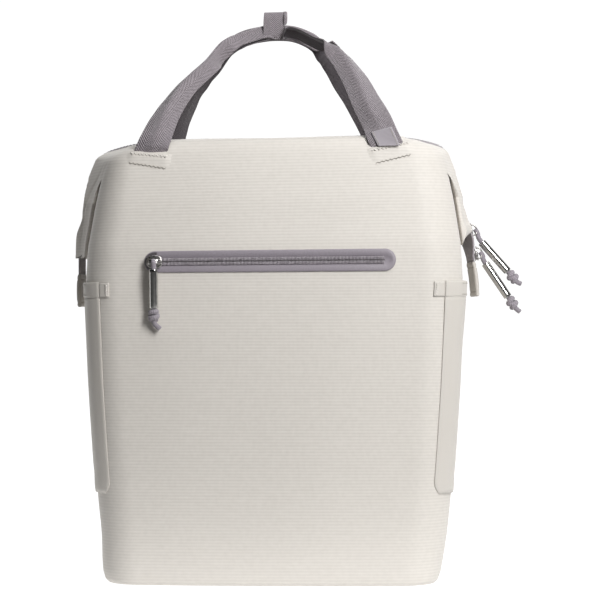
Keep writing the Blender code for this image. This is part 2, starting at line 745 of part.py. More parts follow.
def strap_stations(rows, hand, thick, count):
    stations = []
    for i in range(count + 1):
        height, stand, spread, width = smooth_run(rows, i / count)
        x, z, half = spread * PAD_SPREAD, height * HEIGHT, PAD_WIDTH / 2 * width
        back = -min(front_y(x - half, z), front_y(x + half, z))
        y = back + 2 * GAP + thick / 2 + max(stand, 0) * PAD_STAND
        stations.append((Vector((hand * x, y, z)), Vector((1, 0, 0)), half, thick / 2))
    return stations


def make_shoulder_straps():
    for side, hand in (("left", -1), ("right", 1)):
        pad = strap_stations(PAD, hand, PAD_THICK, 14)
        web = strap_stations(LOWER_WEB, hand, STRAP_THICK, 8)
        keep(ribbon(f"shoulder_strap_{side}", pad), PAD_CLOTH)
        keep(ribbon(f"lower_webbing_{side}", web), WEBBING)
        start, end = pad[-1][0], web[0][0]
        run = (end - start).normalized()
        ends = (start + run * 3 * GAP, end - run * 3 * GAP)
        half = PAD_WIDTH / 2 * LOWER_WEB[0].width + STRAP_THICK
        buckle = [(point, Vector((1, 0, 0)), half, ADJUSTER_THICK / 2) for point in ends]
        keep(ribbon(f"strap_adjuster_{side}", buckle), RUBBER)


def main():
    for obj in list(bpy.data.objects):
        bpy.data.objects.remove(obj, do_unlink=True)
    make_shell()
    for side, hand in (("left", -1), ("right", 1)):
        make_side_fold(f"side_fold_{side}", hand)
        make_side_pocket(side, hand)
    make_main_zip()
    make_main_sliders()
    make_pocket_zip()
    make_handles()
    make_wrap()
    make_tag()
    make_anchor_patches()
    make_shoulder_straps()


main()
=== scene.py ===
"""Soft cooler backpack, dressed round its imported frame: cloth, webbing, zips, pulls, pockets and straps."""

import math

import bmesh
import bpy
from mathutils import Matrix, Vector


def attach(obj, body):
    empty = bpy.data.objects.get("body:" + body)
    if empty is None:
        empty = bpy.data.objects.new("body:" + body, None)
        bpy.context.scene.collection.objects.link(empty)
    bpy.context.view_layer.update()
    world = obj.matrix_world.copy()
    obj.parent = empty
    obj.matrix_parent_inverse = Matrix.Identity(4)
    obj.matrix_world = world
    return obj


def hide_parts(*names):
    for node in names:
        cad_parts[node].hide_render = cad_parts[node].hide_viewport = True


bl_info = {
    "name": "Cooler backpack",
    "version": (1, 0, 0),
    "blender": (4, 5, 0),
    "location": "View3D > Sidebar > Backpack",
    "description": "Builds a soft cooler backpack and the room it is shown in",
    "category": "Object",
}

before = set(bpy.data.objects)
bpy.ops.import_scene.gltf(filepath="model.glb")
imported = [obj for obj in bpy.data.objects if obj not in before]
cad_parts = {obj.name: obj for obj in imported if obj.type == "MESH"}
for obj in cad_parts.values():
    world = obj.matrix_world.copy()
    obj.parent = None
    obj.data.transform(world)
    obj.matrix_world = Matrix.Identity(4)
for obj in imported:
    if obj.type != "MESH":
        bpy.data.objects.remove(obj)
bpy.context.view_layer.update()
MM = 0.001

# Body, as in the frame
HEIGHT = 0.386
WIDTH = 0.332
DEPTH = 0.190
CORNER = 0.036
CROWN = 0.004
TOP_RISE = 0.003
SETTLE = 0.0024  # how far the soft sides lean to the right
GAP = 0.0003
BODY = (  # shares of the height, half width, half depth and corner radius
    (0.000, 0.861, 0.900, 0.90),
    (0.010, 0.884, 0.935, 0.95),
    (0.047, 0.897, 0.955, 1.00),
    (0.100, 0.907, 0.968, 1.00),
    (0.183, 0.926, 0.985, 1.00),
    (0.274, 0.943, 0.995, 1.00),
    (0.365, 0.957, 1.000, 1.00),
    (0.455, 0.970, 1.000, 1.00),
    (0.592, 0.984, 0.998, 1.00),
    (0.679, 0.992, 0.992, 1.00),
    (0.759, 0.982, 0.978, 1.00),
    (0.863, 0.942, 0.915, 0.95),
    (0.935, 0.907, 0.850, 0.88),
    (0.969, 0.880, 0.808, 0.80),
    (0.984, 0.810, 0.785, 0.74),
    (0.995, 0.738, 0.755, 0.68),
    (1.000, 0.690, 0.705, 0.62),
)
FOLD = (  # ridge of a folded end from its tip up: shares of the height, half width and half depth
    (0.793, 1.037, 0.00),
    (0.830, 1.016, 0.20),
    (0.881, 0.997, 0.45),
    (0.935, 0.962, 0.68),
    (0.979, 0.922, 0.70),
    (0.992, 0.820, 0.64),
    (1.000, 0.725, 0.56),
)
HANDLE = (  # shares of half the span, rise and the foot's depth, then the rear one's share that shows and turn
    (-1.010, 0.000, 1.000, 1.00, 0),
    (-0.960, 0.120, 0.985, 1.00, 20),
    (-0.893, 0.272, 0.880, 1.00, 35),
    (-0.827, 0.388, 0.760, 1.00, 48),
    (-0.718, 0.535, 0.600, 0.90, 50),
    (-0.560, 0.680, 0.420, 0.78, 40),
    (-0.490, 0.756, 0.320, 0.72, 22),
    (-0.388, 0.885, 0.170, 0.54, 6),
    (-0.272, 0.950, 0.080, 0.49, 0),
    (-0.087, 0.993, 0.040, 0.45, 0),
    (0.099, 0.996, 0.040, 0.45, 0),
    (0.219, 0.973, 0.055, 0.45, 0),
    (0.348, 0.919, 0.110, 0.50, 0),
    (0.480, 0.856, 0.200, 0.52, 0),
    (0.545, 0.790, 0.270, 0.58, 6),
    (0.615, 0.703, 0.360, 0.78, 20),
    (0.714, 0.552, 0.530, 1.00, 18),
    (0.803, 0.367, 0.720, 1.00, 20),
    (0.880, 0.215, 0.870, 1.00, 24),
    (0.934, 0.104, 0.980, 1.00, 16),
    (0.984, 0.000, 1.000, 1.00, 0),
)
FRONT_HANDLE = (  # by the place along the span: share of the front handle that shows, and turn in degrees
    (-1.010, 1.00, 0),
    (-0.960, 0.97, 12),
    (-0.893, 0.84, 20),
    (-0.827, 0.73, 20),
    (-0.760, 0.65, 16),
    (-0.700, 0.59, 12),
    (-0.640, 0.55, 9),
    (-0.560, 0.53, 5),
    (-0.490, 0.52, 2),
    (-0.388, 0.51, 0),
    (-0.272, 0.50, 0),
    (0.480, 0.50, 0),
    (0.530, 0.54, 0),
    (0.585, 0.60, 3),
    (0.640, 0.69, 8),
    (0.700, 0.79, 13),
    (0.760, 0.88, 17),
    (0.820, 0.95, 20),
    (0.880, 0.96, 24),
    (0.934, 0.98, 16),
    (0.984, 1.00, 0),
)
PAD = (  # shoulder strap from the top down: shares of the height, stand, spread and width
    (0.930, 0.00, 1.00, 0.80),
    (0.900, 0.30, 1.00, 0.90),
    (0.850, 0.62, 1.02, 1.00),
    (0.760, 0.92, 1.07, 1.00),
    (0.650, 1.00, 1.14, 1.00),
    (0.540, 0.90, 1.22, 0.90),
    (0.440, 0.66, 1.29, 0.66),
)
LOWER_WEB = (  # the strap below its adjuster, in the same shares
    (0.366, 0.46, 1.34, 0.42),
    (0.250, 0.22, 1.40, 0.42),
    (0.150, 0.08, 1.44, 0.42),
    (0.080, 0.00, 1.46, 0.42),
)
# Pulls from the middle of each slider, as (out from the bag, sideways, down along the pull): where the cord
# leaves the bridge, the sleeve's two ends, the knot's end and the cord's end
PULLS = {
    "upper": (
        (0.0058, 0, 0.0030),
        (0.0081, 0, 0.0118),
        (0.0269, 0, 0.0417),
        (0.0333, 0, 0.0519),
        (0.0373, 0, 0.0545),
    ),
    "lower": (
        (0.0058, 0, 0.0030),
        (0.0070, 0, 0.0100),
        (0.0221, 0, 0.0431),
        (0.0271, 0, 0.0540),
        (0.0308, 0, 0.0582),
    ),
    "pocket": (
        (0.0058, 0, 0.0010),
        (0.0052, 0, 0.0062),
        (0.0022, 0, 0.0396),
        (0.0011, 0, 0.0515),
        (0.0006, 0.0055, 0.0575),
    ),
}

TAPE_WIDTH = 0.030
TAPE_THICK = 0.0016
TEETH_WIDTH = 0.008
TEETH_THICK = 0.0020
TAIL_LENGTH = 0.036
RIGHT_TAIL = 0.028
END_TAB_LENGTH = 0.030
END_TAB_THICK = 0.0036
FOLD_EDGE = 0.003
PANEL_LENGTH = 0.2158
PANEL_HEIGHT = 0.0188
PANEL_MIDDLE = 0.2795
PANEL_THICK = 0.0014
POCKET_TEETH_HEIGHT = 0.0066
POCKET_TEETH_THICK = 0.0012
POCKET_BOTTOM = 0.079
POCKET_MOUTH = 0.262
POCKET_CLOTH = 0.0015
POCKET_ROOM = 0.008
POCKET_REACH = 0.61
BAND_HEIGHT = 0.013
TAB_REACH = 0.17
STRAP_WIDTH = 0.0265
STRAP_THICK = 0.0016
HANDLE_SPAN = 0.206
HANDLE_FOOT = 0.3765
HANDLE_RISE = 0.110
WRAP_WIDTH = 0.0184
WRAP_HEIGHT = 0.0243
WRAP_THICK = 0.0016
TAG_LENGTH = 0.0165
TAG_WIDTH = 0.0190
TAG_THICK = 0.0012
TAG_RAISE = 0.002
SLIDER_LENGTH = 0.0135
SLIDER_WIDTH = 0.0110
SLIDER_THICK = 0.0032
CORD_DIAMETER = 0.0044
SLEEVE_DIAMETER = 0.0076
SLEEVE_WALL = 0.0010
KNOT_DIAMETER = 0.0105
KNOT_LENGTH = 0.0110
PAD_WIDTH = 0.062
PAD_THICK = 0.011
PAD_STAND = 0.045
PAD_SPREAD = 0.078
ADJUSTER_THICK = 0.005

# Details that the frame leaves plain
ROUTE_STEP = 0.004
ROOF_SLOT = 0.236
LIP_RISE = 0.0042  # of the cloth beside the zip on a folded end
# Folded ends: the lowest share of the height, and how far the inner and the outer side are cut up from there
FOLD_REACH = {"left": (0.738, 0.0070, 0), "right": (0.758, 0, 0.0115)}
COIL_PITCH = 0.00145
TOOTH = (0.0046, 0.00105, 0.0019)
POCKET_COIL_PITCH = 0.00118
POCKET_TOOTH = (0.00085, 0.0027, 0.0012)
PANEL_CORE = 0.098  # half the length of the panel's middle line, from which it is rounded
PANEL_SUNK = 0.62  # the slit's floor, as a share of the panel's thickness
END_TAB_BOW = 0.0008
BRAID_PITCH = 0.0056
PAINTED_SHADE_INSIDE = 1.0  # added to the webbing's map on its inner face, far outside its real 55 mm round, so the webbing paints that face darker: painted shade
WRAP = (  # round the handles' loop: shares of half its depth and of its height
    (0.00, 0.00),
    (0.70, 0.01),
    (1.00, 0.10),
    (1.00, 0.50),
    (0.85, 0.80),
    (0.55, 0.97),
    (0.00, 1.00),
    (-0.55, 0.97),
    (-0.85, 0.80),
    (-1.00, 0.50),
    (-1.00, 0.10),
    (-0.70, 0.01),
)
# Rows of zigzag over each foot, as (inner end, outer end) places on the front: the upper and the lower row
FOOT_ROWS = {
    -1: (((-0.0900, 0.3712), (-0.1215, 0.3745)), ((-0.0908, 0.3612), (-0.1228, 0.3668))),
    1: (((0.0880, 0.3728), (0.1168, 0.3786)), ((0.0912, 0.3622), (0.1198, 0.3690))),
}
VIEW_X = 0.0233
VIEW_Z = 0.246
VIEW_AWAY = 2.0
BOARD_EDGE = 6.0
BOARD_BEND = 2.2  # where the board starts to rise
BOARD_RADIUS = 1.2
BOARD_GLOW = 0.93
SIDES = (("left", -1), ("right", 1))

# Pitches of the woven and knitted patterns. Real yarns are about 0.3 mm, too fine to show in a whole view, so
# the weave is drawn three to four times as coarse. The ribs are as wide as the real ones look.
RIB_PITCH = 0.0027
YARN_PITCH = 0.0011
FINE_PITCH = 0.0012
TWILL_TURN = 0.0062
TWILL_PITCH = 0.0018
WEB_YARN = 0.00105
TAPE_PITCH = 0.0011
PLAIT_PITCH = 0.0022
MESH_PITCH = 0.0030

# Shapes shared by the pieces


def read(table, column, at):
    """A column of a table between its rows, at a share of its first column."""
    if at <= table[0][0]:
        return table[0][column]
    for low, high in zip(table, table[1:]):
        if at <= high[0]:
            return low[column] + (high[column] - low[column]) * (at - low[0]) / (high[0] - low[0])
    return table[-1][column]


def spaced(start, end, count):
    return [start + (end - start) * i / count for i in range(count + 1)]


def evened(table, column, at, step):
    """A column of a table, averaged over five places a step apart."""
    return sum(read(table, column, at + step * k) for k in (-2, -1, 0, 1, 2)) / 5


def soft_read(column, z):
    """A column of the body's table at a height, with its bends eased over a few millimetres of cloth."""
    reach = min(0.014, (HEIGHT - z) / HEIGHT * 0.9, z / HEIGHT * 0.9)
    shares = [z / HEIGHT + reach * k / 3 for k in (-3, -2, -1, 0, 1, 2, 3)]
    return sum(read(BODY, column, share) for share in shares) / len(shares)


def half_width(z):
    return soft_read(1, z) * WIDTH / 2


def half_depth(z):
    return soft_read(2, z) * DEPTH / 2


def corner(z):
    return soft_read(3, z) * CORNER


def ramp(value, start, end):
    share = min(max((value - start) / (end - start), 0), 1)
    return share * share * (3 - 2 * share)


def hump(value, middle, reach):
    """1 in the middle and 0 from reach away."""
    away = min(abs(value - middle) / reach, 1)
    return (1 - away * away) ** 2


def pocket_room(z):
    low = ramp(z, POCKET_BOTTOM, POCKET_BOTTOM + 3 * POCKET_ROOM)
    high = 1 - ramp(z, POCKET_MOUTH, POCKET_MOUTH + 4 * POCKET_ROOM)
    return POCKET_ROOM * low * high


# Small creases in the front cloth, as (x, z, half length across, half length up, depth)
CREASES = (
    (-0.1262, 0.2930, 0.0012, 0.017, 0.0006),
    (0.1560, 0.2870, 0.012, 0.0016, 0.0007),
    (0.1575, 0.2800, 0.010, 0.0014, 0.0006),
    (0.1500, 0.2745, 0.009, 0.0013, 0.0004),
    (-0.1430, 0.2700, 0.010, 0.0016, 0.0003),
)


def swell(x, z):
    """How far the padded front and back stand out of or behind their even curve at a place."""
    wave = 0.45 * math.sin(21 * x + 5 * z) * math.sin(9 * z + 1.2) + 0.3 * math.sin(47 * x - 11 * z + 0.8)
    wave += 0.25 * math.sin(17 * z + 13 * x + 2.1)
    amount = MM * wave * ramp(z, 0, 0.06) * (1 - ramp(z, 0.36, HEIGHT))
    for place, height, across, up, depth in CREASES:
        amount -= depth * hump(x, place, across) * hump(z, height, up)
    return amount


def leant_aside(x, z):
    """How far the soft sides settle to the right at a place across the bag."""
    return SETTLE * min(abs(x) / half_width(z), 1) ** 4 * ramp(z, 0, 0.05)


def skin(u, z, offset=0.0):
    """A point of the body's cloth at a height, settled a little to the right."""
    point = even_skin(u, z, offset)
    point.x += leant_aside(point.x, z)
    return point


def even_skin(u, z, offset=0.0):
    """A point of the body's cloth before it settles. u is 0 in front, 1 to 2 round the corner, 4 at the side's end,
    5 to 6 at the back, and negative on the left."""
    hand = 1 if u >= 0 else -1
    u = abs(u)
    width, depth, radius = half_width(z), half_depth(z), corner(z)
    if u <= 1 or u > 5:
        share = u if u <= 1 else 6 - u
        face = -1 if u <= 1 else 1
        x = hand * share * (width - radius)
        out = offset + CROWN * (1 - share * share) + swell(x, z) * (face < 0)
        return Vector((x, face * (depth + out), z))
    if 2 < u <= 4:
        out = offset - pocket_room(z) * (1 - (u - 3) ** 2)
        return Vector((hand * (width + out), (u - 3) * (depth - radius), z))
    turn = (u - 1) * math.pi / 2 if u <= 2 else (5 - u) * math.pi / 2
    face = -1 if u <= 2 else 1
    x = width - radius + (radius + offset) * math.sin(turn)
    out = offset + (swell(hand * x, z) * math.cos(turn) if face < 0 else 0)
    return Vector((hand * x, face * (depth - radius + (radius + out) * math.cos(turn)), z))


def side_x(y, z):
    width, straight, radius = half_width(z), half_depth(z) - corner(z), corner(z)
    past = min(max(abs(y) - straight, 0), radius)
    return width - radius + math.sqrt(radius * radius - past * past)


def front_y(x, z):
    """Depth of the front cloth at a place on it."""
    width, depth, radius = half_width(z), half_depth(z), corner(z)
    straight = width - radius
    if abs(x) <= straight:
        return -depth - CROWN * (1 - (x / straight) ** 2) - swell(x, z)
    past = min(abs(x) - straight, radius)
    return -(depth - radius) - math.sqrt(radius * radius - past * past) - swell(x, z)


def back_y(x, z):
    """Depth of the back cloth at a place on it."""
    width, depth, radius = half_width(z), half_depth(z), corner(z)
    straight = width - radius
    if abs(x) <= straight:
        return depth + CROWN * (1 - (x / straight) ** 2)
    past = min(abs(x) - straight, radius)
    return depth - radius + math.sqrt(radius * radius - past * past)


def leaned(point):
    """The point after the soft top has risen to the right."""
    weight = ramp(point[2], 0.55 * HEIGHT, 0.9 * HEIGHT)
    return Vector((point[0], point[1], point[2] + TOP_RISE * weight * point[0] / (WIDTH / 2)))


def smooth_run(rows, share):
    """A tuple between the rows of a table, on a smooth curve through them, at a share of its run."""
    at = min(max(share, 0) * (len(rows) - 1), len(rows) - 1 - 1e-9)
    index = int(at)
    t = at - index
    before, first = rows[max(index - 1, 0)], rows[index]
    second, after = rows[index + 1], rows[min(index + 2, len(rows) - 1)]
    return [
        0.5 * (2 * b + (c - a) * t + (2 * a - 5 * b + 4 * c - d) * t * t + (3 * b - a - 3 * c + d) * t * t * t)
        for a, b, c, d in zip(before, first, second, after)
    ]


def smooth_path(points, step):
    """Points about a step apart on a smooth curve through the chosen ones."""
    length = sum((Vector(b) - Vector(a)).length for a, b in zip(points, points[1:]))
    count = max(int(length / step), 2)
    return [Vector(smooth_run([tuple(p) for p in points], i / count)) for i in range(count + 1)]


# Meshes


def close_mesh(name, mesh, look):
    """Files a finished mesh as a piece with its material."""
    bmesh.ops.recalc_face_normals(mesh, faces=mesh.faces)
    for face in mesh.faces:
        face.smooth = True
    data = bpy.data.meshes.new(name)
    mesh.to_mesh(data)
    mesh.free()
    obj = bpy.data.objects.new(name, data)
    bpy.context.scene.collection.objects.link(obj)
    data.materials.append(look)
    return obj


def running(points, joined=False):
    """Lengths from the first point to each of the others."""
    lengths = [0.0]
    for a, b in zip(points, points[1:] + (points[:1] if joined else [])):
        lengths.append(lengths[-1] + (Vector(b) - Vector(a)).length)
    return lengths


def loft(mesh, rings, joined=False, lean=True, place=None):
    """Adds a skin through rings of equally many points, closed at both ends unless the last ring joins the first.
    Its map holds real lengths, round a ring and along them, or what place gives for a point and a ring."""
    layer = mesh.loops.layers.uv.get("cloth") or mesh.loops.layers.uv.new("cloth")
    loops = [[mesh.verts.new(leaned(point) if lean else point) for point in ring] for ring in rings]
    around = running(list(rings[len(rings) // 2]), joined=True)
    along = running([sum((Vector(p) for p in ring), Vector()) / len(ring) for ring in rings], joined=joined)
    count = len(rings[0])
    for k in range(len(rings) if joined else len(rings) - 1):
        low, high = loops[k], loops[(k + 1) % len(rings)]
        for i in range(count):
            j = (i + 1) % count
            face = mesh.faces.new((low[i], low[j], high[j], high[i]))
            spots = ((i, k), (i + 1, k), (i + 1, k + 1), (i, k + 1))
            for corner_loop, (a, b) in zip(face.loops, spots):
                corner_loop[layer].uv = place(a, b) if place else (around[a], along[b])
    if not joined:
        for loop in (loops[0], loops[-1]):
            face = mesh.faces.new(loop)
            for corner_loop in face.loops:
                corner_loop[layer].uv = (corner_loop.vert.co.x, corner_loop.vert.co.y)


def tube(mesh, path, radius, sides, shape=None):
    """Adds a round tube along a path without twist. shape(turn, length) is a share that moves its surface."""
    lengths = running(path)
    rings = []
    side = None
    for i, point in enumerate(path):
        run = (path[min(i + 1, len(path) - 1)] - path[max(i - 1, 0)]).normalized()
        side = (side - run * side.dot(run)).normalized() if side else run.orthogonal().normalized()
        up = run.cross(side)
        size = radius(lengths[i] / lengths[-1]) if callable(radius) else radius
        ring = []
        for k in range(sides):
            turn = 2 * math.pi * k / sides
            reach = size * (shape(turn, lengths[i]) if shape else 1)
            ring.append(point + (side * math.cos(turn) + up * math.sin(turn)) * reach)
        rings.append(ring)
    loft(mesh, rings, lean=False)


def section(half, thick, round_off, steps, across):
    """A flat strip's outline with soft edges, as (across, out) places."""
    radius = thick * round_off
    flat = [half * (2 * i / across - 1) * (1 - radius / half) for i in range(across + 1)]
    top = [(x, thick) for x in flat]
    turns = [math.pi * (i + 0.5) / (steps + 1) for i in range(steps + 1)]
    right = [(half - radius + radius * math.sin(t), thick * math.cos(t)) for t in turns]
    bottom = [(x, -thick) for x in reversed(flat)]
    left = [(-half + radius - radius * math.sin(t), -thick * math.cos(t)) for t in turns]
    return top + right + bottom + left


def turned(mesh, start, end, profile, sides):
    """Adds a round part turned about a line from a closed profile of (length along, radius)."""
    run = (end - start).normalized()
    side = run.orthogonal().normalized()
    up = run.cross(side)
    rings = []
    for k in range(sides):
        turn = 2 * math.pi * k / sides
        arm = side * math.cos(turn) + up * math.sin(turn)
        rings.append([start + run * along + arm * radius for along, radius in profile])
    loft(mesh, rings, joined=True, lean=False)


def block(mesh, middle, axes, size, soften):
    """Adds a block with rounded edges, turned to its axes."""
    holder = bmesh.new()
    bmesh.ops.create_cube(holder, size=1)
    for vert in holder.verts:
        vert.co = Vector([part * length for part, length in zip(vert.co, size)])
    edges = holder.edges[:] + holder.verts[:]
    bmesh.ops.bevel(holder, geom=edges, offset=soften, segments=2, profile=0.5, affect="EDGES")
    turn = Matrix((axes[0], axes[1], axes[2])).transposed()
    twin = {vert: mesh.verts.new(middle + turn @ vert.co) for vert in holder.verts}
    layer = mesh.loops.layers.uv.get("cloth") or mesh.loops.layers.uv.new("cloth")
    for face in holder.faces:
        copy = mesh.faces.new([twin[vert] for vert in face.verts])
        for corner_loop, vert in zip(copy.loops, face.verts):
            corner_loop[layer].uv = (vert.co.x + vert.co.z, vert.co.y)
    holder.free()


# Materials


def linear(code):
    """An sRGB hex colour as linear light."""
    levels = [int(code[i : i + 2], 16) / 255 for i in (0, 2, 4)]
    return (*[x / 12.92 if x <= 0.04045 else ((x + 0.055) / 1.055) ** 2.4 for x in levels], 1.0)


def add(tree, kind, inputs=None, **settings):
    """Adds a node with its settings. An input takes a plain value or another node's output."""
    made = tree.nodes.new(kind)
    for key, value in settings.items():
        setattr(made, key, value)
    for key, value in (inputs or {}).items():
        if isinstance(value, bpy.types.NodeSocket):
            tree.links.new(value, made.inputs[key])
        else:
            made.inputs[key].default_value = value
    return made


def start_material(name, **sockets):
    """A new material with the shader's own sockets set, and the cloth map split into across and along in metres."""
    made = bpy.data.materials.new(name)
    made.use_nodes = True
    tree = made.node_tree
    shader = tree.nodes["Principled BSDF"]
    for key, value in sockets.items():
        shader.inputs[key.replace("_", " ")].default_value = value
    places = add(tree, "ShaderNodeUVMap", uv_map="cloth")
    split = add(tree, "ShaderNodeSeparateXYZ", {0: places.outputs[0]})
    return made, tree, shader, split.outputs[0], split.outputs[1]


def sums(tree, operation, first, second):
    return add(tree, "ShaderNodeMath", {0: first, 1: second}, operation=operation).outputs[0]


def plus(tree, first, second, share):
    """An amount and a share of a second one."""
    return sums(tree, "ADD", first, sums(tree, "MULTIPLY", second, share))


def stripes(tree, place, pitch):
    """A wave from -1 to 1 that repeats at a real pitch."""
    turns = sums(tree, "MULTIPLY", place, 2 * math.pi / pitch)
    return add(tree, "ShaderNodeMath", {0: turns}, operation="SINE").outputs[0]


def mottle(tree, size, detail=2.0):
    """Soft uneven patches of about a real size, laid out by the object's own coordinates rather than its map."""
    place = add(tree, "ShaderNodeTexCoord").outputs["Object"]
    return add(tree, "ShaderNodeTexNoise", {"Vector": place, "Scale": 1 / size, "Detail": detail}).outputs["Fac"]


def shade(tree, amount, low, high, dark, light):
    """Turns an amount between low and high into a colour between two."""
    share = add(tree, "ShaderNodeMapRange", {"Value": amount, "From Min": low, "From Max": high}).outputs[0]
    mix = add(tree, "ShaderNodeMix", {0: share, 6: linear(dark), 7: linear(light)}, data_type="RGBA")
    return mix.outputs[2]


def tint(tree, colour, amount, strength, tone):
    """Lays a second tone over a colour where an amount is high."""
    share = sums(tree, "MULTIPLY", amount, strength)
    return add(tree, "ShaderNodeMix", {0: share, 6: colour, 7: linear(tone)}, data_type="RGBA").outputs[2]


def finish_material(tree, shader, colour, relief, depth, strength=0.6, roughness=None):
    """Joins the colour, the relief of a real depth and the roughness to the shader."""
    tree.links.new(colour, shader.inputs["Base Color"])
    bump = add(tree, "ShaderNodeBump", {"Height": relief, "Distance": depth, "Strength": strength})
    tree.links.new(bump.outputs[0], shader.inputs["Normal"])
    if roughness is not None:
        tree.links.new(roughness, shader.inputs["Roughness"])


def ranged(tree, amount, low, high):
    return add(tree, "ShaderNodeMapRange", {"Value": amount, "To Min": low, "To Max": high}).outputs[0]


def ribbed_polyester(settings):
    """Coated polyester with a woven rib: pale warm grey, dull, with fine level lines and slightly uneven dye."""
    made, tree, shader, across, along = start_material(
        "ribbed_polyester_coated", Roughness=0.62, Sheen_Weight=0.12, Sheen_Roughness=0.5, IOR=1.5
    )
    rib = stripes(tree, along, RIB_PITCH)
    yarn = stripes(tree, across, YARN_PITCH)
    patch = mottle(tree, 0.035)
    wander = mottle(tree, 0.004, 4.0)
    ribbed = plus(tree, rib, sums(tree, "SUBTRACT", wander, 0.5), 2.5)
    ground = shade(tree, ribbed, -2.2, 1.2, settings.cloth_shadow, settings.cloth)
    worn = tint(tree, ground, patch, 0.10, "bdb8b1")
    speck = tint(tree, worn, wander, 0.10, "f2eee9")
    relief = plus(tree, sums(tree, "MULTIPLY", rib, 0.5), yarn, 0.25)
    relief = plus(tree, relief, wander, 0.9)
    finish_material(tree, shader, speck, relief, 0.00009, 0.55, ranged(tree, wander, 0.55, 0.72))
    return made


def plain_polyester(settings):
    """Coated polyester in a close plain weave: the same dye as the body but smoother, so it looks even."""
    made, tree, shader, across, along = start_material(
        "plain_polyester_coated", Roughness=0.58, Sheen_Weight=0.10, Sheen_Roughness=0.5, IOR=1.5
    )
    weave = sums(tree, "MULTIPLY", stripes(tree, across, FINE_PITCH), stripes(tree, along, FINE_PITCH))
    patch = mottle(tree, 0.03)
    wander = mottle(tree, 0.003, 4.0)
    ground = shade(tree, weave, -1.0, 1.0, settings.pocket_shadow, settings.pocket)
    worn = tint(tree, ground, patch, 0.12, "b9b4ad")
    relief = plus(tree, weave, wander, 1.2)
    finish_material(tree, shader, worn, relief, 0.00006, 0.5, ranged(tree, wander, 0.52, 0.66))
    return made


def twill_webbing(settings):
    """Polyester webbing in a herringbone twill: thick grey yarns in slanted rows that turn every few millimetres.
    Its inner face is painted darker: painted shade, where the fold hides it from the light."""
    made, tree, shader, across, along = start_material(
        "polyester_webbing_herringbone", Roughness=0.78, Sheen_Weight=0.25, Sheen_Roughness=0.4, IOR=1.5
    )
    turn = sums(tree, "PINGPONG", across, TWILL_TURN)
    slant = stripes(tree, sums(tree, "ADD", along, turn), TWILL_PITCH)
    yarn = stripes(tree, across, WEB_YARN)
    knots = plus(tree, slant, yarn, 0.5)
    fuzz = mottle(tree, 0.0012, 3.0)
    knots = plus(tree, knots, sums(tree, "SUBTRACT", fuzz, 0.5), 2.2)
    ground = shade(tree, knots, -1.2, 1.1, settings.webbing_shadow, settings.webbing)
    worn = tint(tree, ground, mottle(tree, 0.02), 0.12, "6f686c")
    # Painted shade: the inner face, marked in the map, gets a flat dark tint.
    inner = sums(tree, "GREATER_THAN", across, PAINTED_SHADE_INSIDE / 2)
    finish_material(tree, shader, tint(tree, worn, inner, 0.82, "3f3a3f"), knots, 0.00028, 0.7)
    return made


def woven_tape(settings):
    """Zip tape of fine woven polyester: mid grey with close lines along it and a slightly darker edge."""
    made, tree, shader, across, along = start_material(
        "zip_tape_woven", Roughness=0.72, Sheen_Weight=0.15, Sheen_Roughness=0.4, IOR=1.5
    )
    weave = sums(tree, "ADD", stripes(tree, along, TAPE_PITCH), stripes(tree, across, TAPE_PITCH))
    fuzz = mottle(tree, 0.0015, 3.0)
    relief = sums(tree, "ADD", weave, fuzz)
    ground = shade(tree, weave, -2.0, 1.6, "8c868a", settings.tape)
    finish_material(tree, shader, tint(tree, ground, fuzz, 0.2, "5d585b"), relief, 0.0001, 0.6)
    return made


def moulded_panel(settings):
    """Thermoplastic film laminated over the tape and pressed: smooth, satin, with a faint pebble."""
    made, tree, shader, *_ = start_material("tpu_film_pressed", Roughness=0.46, IOR=1.52)
    pebble = mottle(tree, 0.0011, 2.0)
    patch = mottle(tree, 0.02)
    ground = shade(tree, pebble, 0.3, 0.7, "857e85", settings.panel)
    worn = tint(tree, ground, patch, 0.14, "9b949b")
    finish_material(tree, shader, worn, pebble, 0.00005, 0.5, ranged(tree, patch, 0.40, 0.56))
    return made


def moulded_teeth(name, dark, light):
    """Nylon coil, drawn and wound: grey, half gloss, so each turn catches a small light."""
    made, tree, shader, *_ = start_material(name, Roughness=0.38, IOR=1.53)
    rub = mottle(tree, 0.003, 3.0)
    ground = shade(tree, rub, 0.3, 0.7, dark, light)
    finish_material(tree, shader, ground, rub, 0.00004, 0.4, ranged(tree, rub, 0.32, 0.48))
    return made


def plated_zinc():
    """Zinc alloy, die cast and nickel plated: bright satin metal with a soft cast skin and darker hollows."""
    made, tree, shader, *_ = start_material("zinc_alloy_nickel_plated", Metallic=1.0, Roughness=0.26)
    skin_marks = mottle(tree, 0.0015, 3.0)
    ground = shade(tree, skin_marks, 0.35, 0.7, "a9a6a4", "d3d0cd")
    finish_material(tree, shader, ground, skin_marks, 0.00003, 0.5, ranged(tree, skin_marks, 0.20, 0.36))
    return made


def polished_steel():
    """Steel tube, drawn and polished: near mirror, with faint lines round it from the buffing wheel."""
    made, tree, shader, across, _ = start_material("steel_tube_polished", Metallic=1.0, Roughness=0.11)
    lines = stripes(tree, across, 0.0007)
    smear = mottle(tree, 0.004, 3.0)
    ground = shade(tree, smear, 0.3, 0.75, "bdbcbb", "d4d3d1")
    relief = sums(tree, "ADD", lines, smear)
    finish_material(tree, shader, ground, relief, 0.000004, 0.4, ranged(tree, smear, 0.08, 0.17))
    return made


